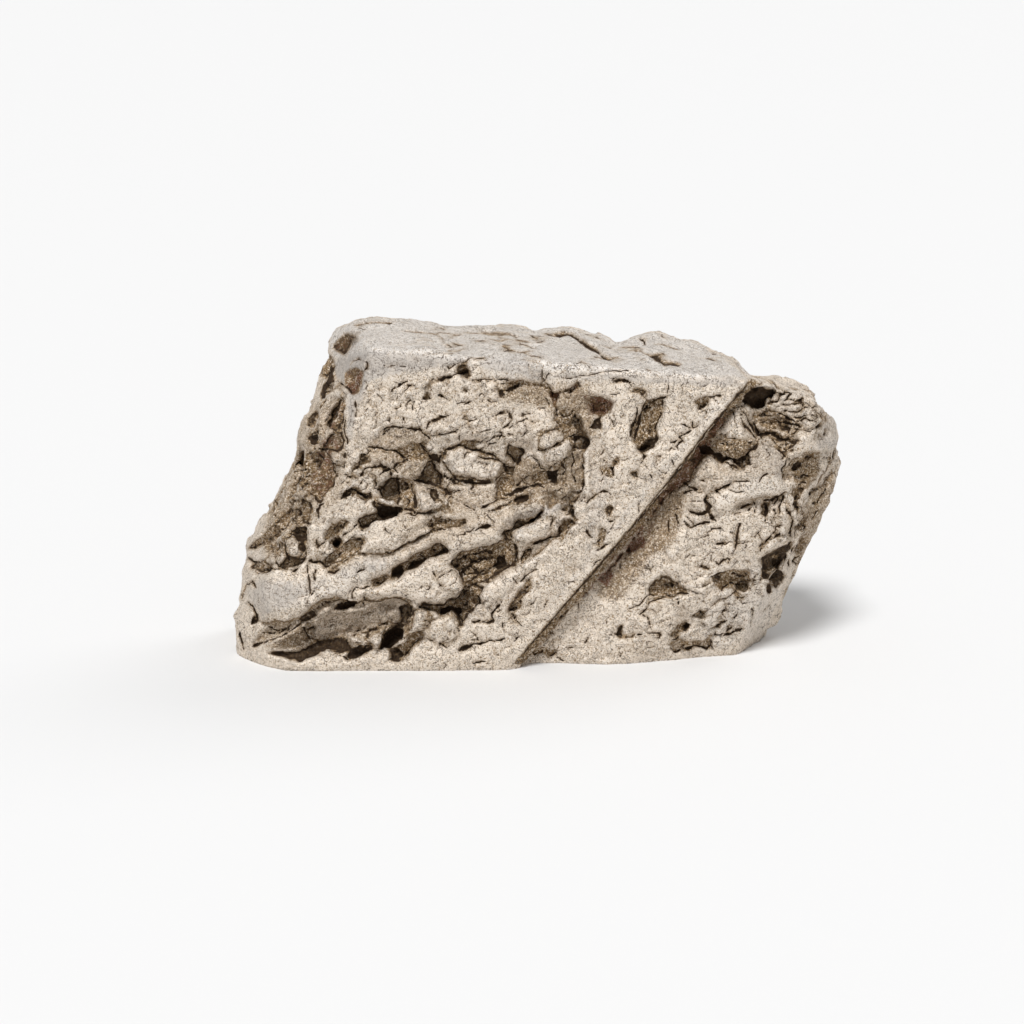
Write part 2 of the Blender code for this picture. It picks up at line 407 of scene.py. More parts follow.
@dataclass(frozen=True)
class Hollow:
    """A sunk patch inside an outline, with the depth reached some way in from its rim. Its dark colour,
    strongest at the walls and in a ring at the rim, is painted shade with dark oxide.
    """

    outline: tuple
    depth: float = 5.0
    rim: float = 4.0
    soot: float = 0.6
    rust: float = 0.0
    tan: float = 0.0
    rim_soot: float = 0.0

    def draw(self, sheet: Sheet) -> None:
        """Add the hollow.

        Args:
            sheet: Where it is drawn.
        """
        found = sheet.near(self.outline, 3.0)
        inner = inside_outline(sheet.u[found], sheet.v[found], self.outline)
        bowl = smooth_step(-0.8, 1.0, inner / self.rim)
        sheet.height[found] -= self.depth * bowl
        mark = smooth_step(-0.6, 0.8, inner)
        # Painted shade with dark oxide: darkest near the walls and in a ring at the rim, lighter on the
        # floor.
        on_floor = 0.20 + 0.80 * self.soot**3
        wall = on_floor + (1.0 - on_floor) * np.exp(-(np.maximum(inner, 0.0) / 1.8) ** 2)
        rim = np.exp(-((inner - 0.8) / 1.0) ** 2) * self.rim_soot
        soft = smooth_step(-1.5, 2.0, inner)
        film = max(self.tan, 0.7 * self.soot)
        sheet.stain(found, soot=np.maximum(self.soot * mark * wall, rim), rust=self.rust * soft,
                    tan=film * soft)


@dataclass(frozen=True)
class Plate:
    """A raised patch inside an outline, with a paler top and a dark seam round it. The seam is painted shade
    round the plate's foot, with dark oxide.
    """

    outline: tuple
    height: float = 2.5
    rim: float = 3.0
    bright: float = 0.4
    seam: float = 0.6

    def draw(self, sheet: Sheet) -> None:
        """Add the plate.

        Args:
            sheet: Where it is drawn.
        """
        found = sheet.near(self.outline, 4.0)
        inner = inside_outline(sheet.u[found], sheet.v[found], self.outline)
        top = smooth_step(-0.5, self.rim, inner)
        sheet.height[found] += self.height * top
        sheet.layers["soot"][found] *= 1.0 - smooth_step(-0.2, 1.2, inner)
        # The dark seam round the foot: painted shade with dark oxide.
        sheet.stain(found, soot=self.seam * np.exp(-((inner + 0.8) / 1.1) ** 2),
                    bright=0.6 * self.bright * top)


@dataclass(frozen=True)
class Wash:
    """A soft-edged tint of one layer inside an outline, with no relief."""

    layer: Layer
    outline: tuple
    strength: float = 0.5
    soft: float = 8.0

    def draw(self, sheet: Sheet) -> None:
        """Add the tint.

        Args:
            sheet: Where it is drawn.
        """
        found = sheet.near(self.outline, self.soft + 1.0)
        inner = inside_outline(sheet.u[found], sheet.v[found], self.outline)
        value = self.strength * smooth_step(-self.soft * 0.5, self.soft * 0.5, inner)
        sheet.stain(found, **{self.layer.value: value})


# ---- The front: drawn on the camera's sheet ----

FRONT_BROAD = (
    # The ragged step on the left of the diagonal band
    Scarp((577,410, 583,424, 587,440, 583,478, 584,490, 573,502, 574,526, 556,538, 527,566), drop=7, back=34,
        soot=0.55, dark_width=4),
    # The middle of the torn face
    Hollow((383,430, 405,429, 424,433, 430,440, 428,450, 436,456, 441,470, 450,484, 476,506, 462,512,
        430,496, 412,492, 404,478, 372,462, 366,448), 3, 8, 0.05, tan=0.45),
    Hollow((500,462, 512,452, 548,466, 560,460, 566,448, 584,452, 584,486, 574,502, 560,506, 545,498,
        512,504, 496,500, 494,480), 3, 8, 0.05, tan=0.55),
    Hollow((558,408, 574,408, 582,424, 585,438, 560,436, 555,420), 3, 4, 0.1, tan=0.8),
    Hollow((393,451, 400,446, 415,443, 424,444, 429,450, 430,457, 424,461, 410,460, 402,458), 3.5, 3, 0.2,
        tan=0.9, rim_soot=0.5),
    Hollow((390,477, 397,477, 397,490, 401,494, 400,499, 396,503, 382,498, 380,490), 9, 2.5, 0.72,
        rim_soot=0.98),
    Hollow((427,461, 434,461, 436,469, 441,475, 443,482, 432,485, 420,482, 414,478, 420,474), 9, 2.5, 0.75,
        rim_soot=0.98),
    Groove((412,478, 425,483, 437,485, 446,490, 455,499), 6, 5, 1),
    Hollow((429,453, 438,454, 440,463, 434,462, 428,458), 6, 2, 1),
    Hollow((398,479, 412,480, 417,492, 415,510, 404,509, 400,498), 4, 3, 0.35, tan=0.8),
    Hollow((505,449, 511,442, 516,447, 523,448, 525,453, 519,458, 517,465, 504,455), 8, 2.5, 0.72,
        rim_soot=0.98),
    Hollow((499,461, 516,466, 514,476, 506,475), 6, 2.5, 0.8),
    Hollow((499,478, 512,476, 513,488, 506,498, 495,501), 5, 3, 0.45, tan=0.9, rim_soot=0.7),
    Hollow((530,475, 540,471, 550,471, 550,484, 536,485, 531,481), 5, 2.5, 0.4, tan=0.9, rim_soot=0.8),
    Hollow((549,471, 558,470, 559,478, 557,485, 550,484), 7, 2, 1),
    Hollow((572,440, 578,436, 584,436, 588,443, 586,450, 573,450), 8, 2.5, 0.85, rim_soot=0.98),
    Hollow((574,410, 579,418, 587,440, 581,437, 576,428, 572,418), 5, 2, 0.7),
    Hollow((513,499, 520,494, 532,494, 528,499, 519,504), 6, 2, 0.95),
    Hollow((542,490, 550,492, 556,502, 552,512, 545,508, 546,499), 4, 2.5, 0.5, tan=0.6),
    Hollow((529,521, 541,510, 543,514, 538,520, 530,524), 6, 2, 0.98),
    Hollow((355,469, 361,454, 368,455, 368,464, 362,469), 5, 2.5, 0.7, rim_soot=0.9),
    Hollow((341,498, 347,489, 356,486, 366,493, 372,491, 372,497, 362,498, 352,494, 346,498), 4, 2, 0.8),
    Hollow((458,370, 470,368, 469,377, 462,376), 4, 2, 0.8),
    Plate((447,450, 462,446, 489,456, 500,462, 505,468, 498,476, 484,481, 455,476, 443,462), 5, 5, 0.5, 0.9),
    Plate((414,480, 424,484, 436,486, 446,494, 452,504, 424,512, 415,508, 417,494), 4, 3, 0.8, 0.5),
    Plate((370,455, 384,454, 398,458, 405,462, 396,467, 380,466, 371,462), 3, 3, 0.4, 0.5),
    Plate((377,497, 396,501, 394,504, 378,503), 3, 2, 0.9, 0.6),
    Plate((515,466, 526,459, 533,464, 532,472, 524,480, 514,486, 513,476), 3, 4, 0.3, 0.5),
    Plate((539,446, 541,434, 549,430, 561,429, 562,438, 556,444, 546,449), 3.5, 3, 0.2, 0.8),
    Plate((543,451, 566,441, 572,447, 568,456, 558,466, 546,462), 3, 4, 0.3, 0.5),
    Plate((511,504, 522,504, 532,500, 543,504, 540,511, 528,518, 514,516), 3, 3, 0.7, 0.6),
    Plate((551,488, 562,482, 572,486, 570,496, 560,500, 552,496), 3, 3, 0.7, 0.4),
    # Crystal plates that rise to the right
    Plate((362,528, 380,522, 404,510, 416,515, 428,514, 426,524, 402,542, 386,550, 372,551, 364,546,
        360,538, 352,532), 2.5, 4, 0.25, 0),
    Plate((386,557, 430,534, 520,508, 532,512, 520,518, 508,528, 500,538, 480,546, 462,550, 450,560,
        446,545, 438,540, 408,560, 392,565), 2.5, 4, 0.3, 0),
    Plate((352,562, 364,556, 384,557, 390,566, 388,573, 372,578, 368,584, 354,586, 350,596, 330,597,
        305,612, 280,618, 262,616, 258,600, 262,582), 3, 5, 0.45, 0),
    Plate((362,586, 378,588, 390,580, 448,553, 464,586, 440,601, 415,603, 405,596, 358,600, 354,594), 3, 4,
        0.3, 0),
    Plate((472,590, 484,582, 520,564, 536,553, 530,570, 516,582, 506,600, 492,604, 484,618, 472,616,
        482,602), 2.5, 4, 0.3, 0),
    Plate((514,536, 520,528, 541,522, 552,524, 550,534, 538,541, 522,544, 515,542), 3, 3, 0.3, 0.4),
    Scarp((322,571, 337,567, 352,557, 362,554, 382,554, 392,551, 430,531, 466,523), 5, 14, 0.85,
        dark_width=2.2),
    Hollow((357,519, 377,512, 378,507, 402,506, 398,512, 390,517, 362,528, 359,526), 8, 3, 0.55, tan=1,
        rim_soot=0.95),
    Hollow((377,510, 380,507, 401,507, 392,515, 382,519), 4, 2, 0.95),
    Hollow((339,520, 346,518, 350,522, 338,536, 341,544, 334,549, 330,543, 334,537, 332,532), 5, 2, 0.45,
        tan=1, rim_soot=0.5),
    Hollow((330,541, 341,539, 341,545, 334,549), 5, 2, 0.9),
    Hollow((325,560, 336,550, 350,541, 360,538, 365,541, 362,547, 363,551, 336,565, 326,567), 7, 3, 0.5,
        rust=0.2, tan=1, rim_soot=0.85),
    Hollow((427,522, 432,517, 441,516, 442,524, 438,529, 430,531), 5, 2.5, 0.25, tan=1, rim_soot=0.6),
    Hollow((441,519, 452,518, 466,520, 464,525, 440,527), 4, 2, 0.75),
    Hollow((371,588, 370,581, 388,573, 390,578, 378,587), 6, 2, 0.75, tan=1),
    Hollow((392,579, 391,569, 407,561, 411,556, 430,547, 436,542, 442,541, 450,551, 432,558), 8, 3, 0.35,
        tan=1, rim_soot=0.7),
    Hollow((391,577, 392,567, 403,565, 406,571, 398,576), 4, 2, 0.95),
    Hollow((432,557, 440,550, 444,543, 450,551, 442,556), 5, 2, 0.98),
    Hollow((407,570, 410,562, 420,561, 432,555, 424,564, 414,570), 4, 2, 0.95),
    Plate((410,560, 418,552, 430,549, 433,553, 414,563), 3.5, 2.5, 0, 0),
    Hollow((501,531, 510,529, 519,519, 527,521, 542,510, 541,519, 520,527, 513,532, 513,539, 504,539), 7, 2.5,
        0.72, tan=1, rim_soot=0.9),
    Hollow((450,562, 462,552, 478,549, 501,540, 512,538, 520,560, 469,588, 465,580, 461,578), 9, 3.5, 0.35,
        tan=1, rim_soot=0.75),
    Plate((458,560, 466,557, 472,561, 468,568, 460,569), 3.5, 2.5, 0.1, 0.8),
    Plate((463,573, 472,569, 476,575, 470,581, 465,580), 3.5, 2.5, 0.2, 0.8),
    Plate((472,565, 482,560, 492,558, 494,564, 486,572, 476,573), 3.5, 2.5, 0.2, 0.8),
    Plate((504,556, 510,550, 516,556, 512,566, 505,565), 4, 2.5, 0.4, 0.9),
    Plate((466,552, 492,549, 488,555, 474,558), 3, 2.5, 0, 0.5),
    Groove((450,562, 463,578, 466,587), 5, 4, 0.9),
    Groove((512,540, 518,553, 518,561), 5, 4, 0.9),
    Hollow((498,556, 506,554, 507,567, 498,570, 494,565), 5, 2, 0.9),
    Scarp((466,588, 519,561), 5, 14, 0.95, dark_width=3.2),
    Hollow((417,608, 422,603, 443,602, 465,587, 475,583, 483,588, 478,596, 480,602, 469,612, 462,626,
        452,613, 446,612, 440,616, 430,611), 11, 3.5, 0.72, tan=1, rim_soot=0.95),
    Hollow((438,606, 450,605, 460,608, 463,620, 456,618, 450,612, 440,613), 5, 2, 1),
    Plate((467,592, 476,588, 480,593, 474,600, 476,606, 468,609, 466,600), 5, 3, 0, 0.5),
    Plate((428,610, 438,609, 440,616, 432,619), 4, 2, 0.1, 0.5),
    Plate((432,622, 447,615, 455,618, 459,626, 456,640, 440,645, 430,636), 3, 3, 0.3, 0.5),
    Hollow((506,610, 511,600, 517,593, 528,588, 519,606, 514,611), 6, 2.5, 0.55, tan=1, rim_soot=0.8),
    Hollow((520,566, 522,556, 532,544, 534,552, 528,560), 4, 2.5, 0.35, tan=0.9),
    Hollow((522,590, 526,580, 534,576, 532,586, 527,592), 4, 2.5, 0.3, tan=0.9),
    # Lower left: cavities under a tongue of smooth metal
    Scarp((258,620, 268,622, 300,618, 311,608, 325,599, 335,597, 345,600, 356,600), 6, 14, 0.4, tan=0.8,
        dark_width=1.8),
    Hollow((250,647, 268,624, 300,620, 299,624, 288,630), 4.5, 3, 0.12, rust=0.1, tan=0.5),
    Hollow((299,621, 305,614, 313,610, 316,614, 315,620, 306,624), 6, 2, 0.85),
    Hollow((304,632, 306,620, 318,608, 330,601, 345,599, 360,602, 398,596, 406,597, 413,605, 415,613,
        410,622, 384,628, 374,634, 350,640, 307,642), 5, 4, 0.1, tan=0.4, rim_soot=0.85),
    Plate((309,638, 309,628, 320,618, 348,608, 398,600, 406,603, 409,611, 404,617, 360,630, 324,639), 7, 9,
        0.45, 0.2),
    Plate((316,614, 322,606, 330,604, 334,609, 326,616, 318,618), 4, 3, 0.1, 0.4),
    Hollow((332,611, 340,603, 352,600, 361,602, 340,611), 6, 2, 0.95),
    Hollow((400,606, 408,602, 413,607, 413,615, 406,622, 396,622, 402,615), 5, 3, 0.85),
    Hollow((264,654, 280,651, 292,652, 320,640, 349,641, 353,646, 350,651, 340,654, 334,651, 320,652,
        300,660), 7, 2.5, 0.92, rust=0.1),
    Hollow((349,650, 362,644, 371,645, 373,650, 352,660, 347,657), 7, 2, 0.97),
    Hollow((364,634, 384,622, 400,621, 404,626, 378,634, 370,640), 5, 2.5, 0.9),
    Plate((376,627, 386,622, 396,623, 390,630, 380,632), 4, 2, 0.7, 0),
    Hollow((380,651, 381,638, 388,631, 399,627, 402,632, 392,651), 11, 2.5, 0.97, rust=0.25),
    Plate((371,633, 380,629, 384,633, 380,649, 372,650, 369,641), 5, 2.5, 0.5, 0.7),
    Hollow((392,653, 411,633, 420,630, 426,635, 408,657, 400,662, 390,661), 6, 3, 0.35, tan=0.9),
    Hollow((389,661, 391,650, 398,648, 403,655, 400,662), 5, 2, 0.9),
    Plate((390,652, 402,633, 411,627, 415,619, 415,612, 424,611, 431,616, 427,624, 420,631, 410,634,
        403,642), 5, 3, 0.4, 0.7),
    Plate((343,635, 350,634, 356,639, 366,642, 371,647, 362,647), 4, 1.5, 0.9, 0.4),
    # The diagonal band
    Hollow((641,414, 643,404, 646,399, 654,398, 661,400, 662,410, 660,418, 656,424, 655,430, 657,437,
        654,446, 641,453, 636,449, 632,436, 634,425, 637,418), 7, 3, 0.2, tan=0.9, rim_soot=0.5),
    Hollow((635,446, 644,444, 656,436, 655,446, 648,451, 641,454), 4, 2, 0.9),
    Hollow((627,391, 637,386, 645,387, 648,391, 646,395, 640,392), 4, 2.5, 0.5, tan=0.8, rim_soot=0.9),
    Hollow((693,401, 702,396, 708,397, 709,402, 700,411, 696,408), 4.5, 2.5, 0.45, tan=1, rim_soot=0.6),
    Hollow((697,406, 704,405, 700,411), 4, 2, 0.85),
    Hollow((600,469, 606,466, 613,466, 614,474, 602,474), 3, 3, 0.15, tan=0.8, rim_soot=0.6),
    Hollow((611,462, 617,456, 622,460, 616,466), 3, 2, 0.2, tan=1),
    Hollow((628,471, 636,470, 637,480, 631,477), 4, 2, 0.7, rim_soot=0.8),
    Hollow((655,453, 661,453, 660,463, 654,462), 3, 2, 0.45),
    Hollow((603,510, 608,507, 613,509, 612,514, 608,516), 4, 2, 0.75, tan=0.8, rim_soot=0.8),
    Hollow((598,545, 600,534, 604,528, 607,532, 604,541, 600,547), 3.5, 2.5, 0.5, tan=0.5, rim_soot=0.6),
    # The notch under the top edge
    Hollow((457,367, 471,358, 467,364, 471,377, 464,374, 457,374), 6, 2, 0.8, tan=1),
    Hollow((585,398, 596,394, 615,404, 611,410, 603,416, 596,418, 590,411), 6, 3, 0.55, rust=0.55, tan=0.8),
    Hollow((508,381, 531,380, 550,384, 553,392, 560,396, 556,401, 545,391, 528,387, 512,390), 5, 2.5, 0.4,
        rust=0.2, tan=0.8),
    Hollow((563,392, 577,382, 581,388, 578,394), 3, 2, 0.4, tan=0.8),
    # The block to the right of the band
    Plate((757,441, 764,440, 787,460, 788,468, 784,478, 790,492, 742,502, 732,511, 718,514, 711,511,
        709,503, 711,496, 728,486, 732,478, 727,470, 733,467, 753,467, 753,456), 3.5, 7, 0.5, 0.1),
    Plate((693,472, 703,455, 708,454, 719,464, 722,470, 730,476, 729,482, 722,489, 714,490, 709,494,
        691,479), 3, 5, 0.1, 0.3),
    Plate((676,492, 684,484, 700,491, 706,491, 708,497, 706,500, 709,506, 707,511, 700,513, 692,511,
        677,500), 2.5, 4, 0, 0.5),
    Plate((732,411, 738,402, 748,403, 751,412, 752,425, 757,437, 750,441, 738,441, 724,438, 720,431,
        724,421), 4, 5, 0.15, 0.2),
    Plate((718,437, 730,437, 742,441, 750,441, 753,446, 735,455, 725,455, 718,450, 714,443), 4, 5, 0, 0.1),
    Plate((786,457, 815,439, 830,432, 837,440, 835,450, 806,456), 3, 5, 0.5, 0.2),
    Plate((768,405, 786,388, 800,390, 812,396, 824,408, 828,420, 815,427, 800,426, 786,421, 774,413,
        765,410), 2.5, 4, 0.2, 0.5),
    Hollow((741,399, 745,391, 750,388, 770,387, 773,390, 772,397, 765,401, 762,407, 756,409, 751,408,
        747,402), 12, 2.5, 0.93, rust=0.25, tan=0.8),
    Hollow((698,447, 706,446, 714,450, 720,456, 729,459, 724,463, 718,462, 712,456, 704,453), 6, 3, 0.92),
    Hollow((712,449, 722,455, 735,457, 752,447, 758,440, 757,449, 738,459, 726,460, 718,457), 6, 2.5, 0.92),
    Hollow((730,458, 737,459, 751,450, 751,461, 754,467, 740,467, 733,463), 7, 2.5, 0.8),
    Hollow((751,412, 770,408, 769,415, 758,420, 751,419), 4, 3, 0.45, tan=0.9, rim_soot=0.6),
    Hollow((760,424, 768,417, 777,419, 778,428, 769,431, 760,429), 4, 3, 0.3, tan=1, rim_soot=0.5),
    Hollow((777,419, 788,429, 787,434, 778,426), 4, 2, 0.85),
    Hollow((753,430, 762,432, 772,431, 784,436, 776,440, 764,439, 756,436), 4, 3, 0.5, tan=0.6),
    Hollow((771,440, 780,437, 790,440, 800,439, 801,443, 790,448, 784,453, 780,452), 6, 3, 0.55, tan=0.1,
        rim_soot=0.95),
    Hollow((813,428, 818,425, 822,428, 817,430), 4, 2, 0.9),
    Hollow((790,462, 795,457, 806,456, 816,452, 814,459, 804,463, 802,468, 796,471, 791,469), 7, 3, 0.6,
        tan=1, rim_soot=0.4),
    Hollow((792,463, 797,460, 802,462, 800,467, 795,470), 5, 2, 0.9),
    Hollow((783,480, 788,462, 791,470, 800,478, 792,481), 5, 3, 0.5, tan=0.2),
    Hollow((796,472, 804,464, 812,462, 814,470, 808,480, 806,488, 798,486, 794,480), 4, 4, 0.15, tan=1),
    Hollow((791,493, 795,488, 802,487, 806,491, 800,498, 793,500), 7, 2.5, 0.7, tan=1, rim_soot=0.5),
    Hollow((792,501, 797,500, 798,507, 793,508), 5, 2, 0.9),
    Scarp((732,514, 737,506, 745,500, 770,495, 778,496, 786,492), 4.5, 16, 0.45, dark_width=2),
    Hollow((762,502, 771,502, 765,519, 762,515), 5, 2.5, 0.8, tan=0.6),
    Hollow((744,505, 762,501, 747,508), 3, 2, 0.5, tan=0.8),
    Plate((777,500, 783,501, 787,508, 790,530, 786,541, 765,553, 762,547, 778,526, 780,514), 3, 4, 0.4, 0.4),
    Hollow((761,558, 768,553, 790,543, 790,550, 785,555, 786,560, 780,563, 778,568, 785,577, 779,587,
        775,587, 772,582, 763,577), 12, 3, 0.9, rust=0.1, tan=0.8),
    Plate((764,569, 772,566, 777,569, 770,573), 5, 2, 0.2, 0.3),
    Plate((770,556, 776,554, 777,558, 771,559), 3, 2, 0, 0.3),
    Hollow((765,584, 769,582, 772,589, 771,595, 767,592), 5, 2, 0.9),
    Hollow((795,553, 799,541, 806,534, 806,545, 797,557), 5, 2.5, 0.75, tan=0.7),
    Hollow((811,497, 814,490, 827,484), 5, 2, 0.9),
    Hollow((820,487, 832,468, 833,477, 828,485), 4, 3, 0.3, tan=0.8),
    Hollow((650,594, 651,587, 655,580, 660,577, 669,577, 690,590, 658,599), 7, 4, 0.3, tan=1, rim_soot=0.8),
    Hollow((660,583, 668,580, 674,583, 668,586), 4, 2, 0.75),
    Hollow((709,576, 749,571, 750,580, 748,588, 740,590, 730,588, 722,592, 717,585, 719,579), 6, 3, 0.2,
        tan=1, rim_soot=0.4),
    Hollow((713,576, 721,576, 719,583, 715,586), 4, 2, 0.8),
    Hollow((734,586, 742,580, 748,583, 750,590, 743,592, 735,591), 5, 2.5, 0.75, tan=1),
    Hollow((735,594, 742,597, 748,595, 743,600, 738,599), 4, 2, 0.85),
    Hollow((691,615, 698,609, 708,610, 708,615, 700,618), 4, 2, 0.7, tan=0.8),
    Hollow((698,567, 702,563, 707,565, 708,570, 702,571), 4, 2, 0.85),
    Hollow((670,634, 683,620, 688,620, 690,628, 684,633, 676,636), 5, 3, 0.3, tan=0.8, rim_soot=0.5),
    Hollow((685,624, 689,621, 691,629, 687,634, 683,632), 4, 2, 0.9),
    Hollow((669,641, 680,637, 686,641, 684,648, 677,651, 670,647), 5, 3, 0.45, tan=0.5, rim_soot=0.6),
    Hollow((680,640, 690,641, 694,648, 686,650, 681,646), 3, 3, 0.15, tan=1),
    Hollow((690,641, 702,641, 712,635, 713,643, 706,648, 698,646), 4, 2, 0.45, tan=0.6, rim_soot=0.5),
    Hollow((707,629, 712,626, 720,625, 718,629), 4, 2, 0.5, tan=0.5, rim_soot=0.6),
    Hollow((613,638, 621,625, 624,628, 621,633, 622,638), 6, 2, 0.85),
    Hollow((622,635, 632,636, 633,631, 635,633, 634,638, 624,639), 4, 2, 0.8),
    # Left facet
    Hollow((300,461, 306,453, 318,452, 325,448, 335,464, 336,474, 332,486, 322,501, 304,492, 299,484,
        304,472), 9, 4, 0.55, rust=0.15, tan=1, rim_soot=0.85),
    Hollow((303,462, 312,458, 322,460, 326,470, 318,476, 308,474), 4, 3, 0.75),
    Hollow((343,397, 346,406, 343,414, 342,430, 334,433, 330,426, 331,414), 9, 2.5, 0.75, rust=0.3,
        rim_soot=0.95),
    Hollow((323,445, 330,436, 337,431, 343,433, 343,446, 338,451, 331,449, 325,451), 8, 2.5, 0.7, rust=0.35,
        rim_soot=0.95),
    Hollow((307,440, 312,437, 317,439, 316,447, 310,446), 6, 2, 1),
    Hollow((309,418, 316,410, 319,413, 314,430, 309,427), 6, 2, 0.85),
    Hollow((331,365, 336,366, 334,379, 325,398, 320,401, 322,390, 328,380), 6, 2, 0.95),
    Hollow((321,362, 328,355, 334,358, 332,368, 326,378, 321,374), 4, 2.5, 0.45, tan=0.8, rim_soot=0.7),
    Hollow((345,385, 346,372, 356,367, 362,371, 361,384, 358,393, 353,397, 347,392), 6, 3, 0.3, rust=0.4,
        tan=1, rim_soot=0.4),
    Hollow((345,385, 359,384, 357,393, 353,397, 347,392), 3, 2, 0.75, rust=0.6),
    Hollow((333,347, 337,339, 345,334, 358,336, 353,343, 343,353), 8, 4, 0.83, rust=0.35, tan=1,
        rim_soot=0.75),
    Hollow((301,503, 308,499, 312,508, 310,520, 302,524, 292,520), 7, 3, 0.7, tan=1, rim_soot=0.8),
    Hollow((246,549, 258,540, 280,518, 296,508, 302,512, 292,524, 268,542, 256,549), 7, 3, 0.62, rust=0.15,
        tan=1, rim_soot=0.85),
    Hollow((262,548, 272,540, 282,543, 284,552, 276,558, 266,554), 5, 3, 0.6, tan=0.7),
    Hollow((290,532, 299,527, 308,526, 307,540, 300,541), 7, 2, 0.85),
    Hollow((279,567, 288,558, 300,558, 307,556, 306,563, 296,567, 284,571), 6, 2, 0.8, tan=0.8),
    Hollow((250,566, 262,558, 272,566, 268,574, 256,574), 4, 3, 0.5, tan=0.8, rim_soot=0.8),
    Hollow((325,536, 330,524, 336,519, 340,524, 336,534, 330,541), 4, 2.5, 0.4, tan=0.9),
    Hollow((330,542, 340,537, 343,543, 337,549, 332,548), 6, 2, 0.8),
    Plate((283,538, 292,536, 301,541, 303,552, 298,558, 289,556, 285,548), 4, 3, 0.5, 0.9),
    Plate((330,451, 342,449, 344,460, 338,463, 331,458), 3, 3, 0.5, 0.7),
    Plate((319,404, 337,386, 341,396, 334,406, 328,420, 324,436, 317,434), 4, 5, 0.5, 0.5),
    Plate((302,478, 314,470, 320,473, 301,486), 3.5, 2.5, 0.6, 0.6),
    Plate((292,496, 306,488, 311,492, 300,501, 292,503), 3.5, 2.5, 0.5, 0.6),
)

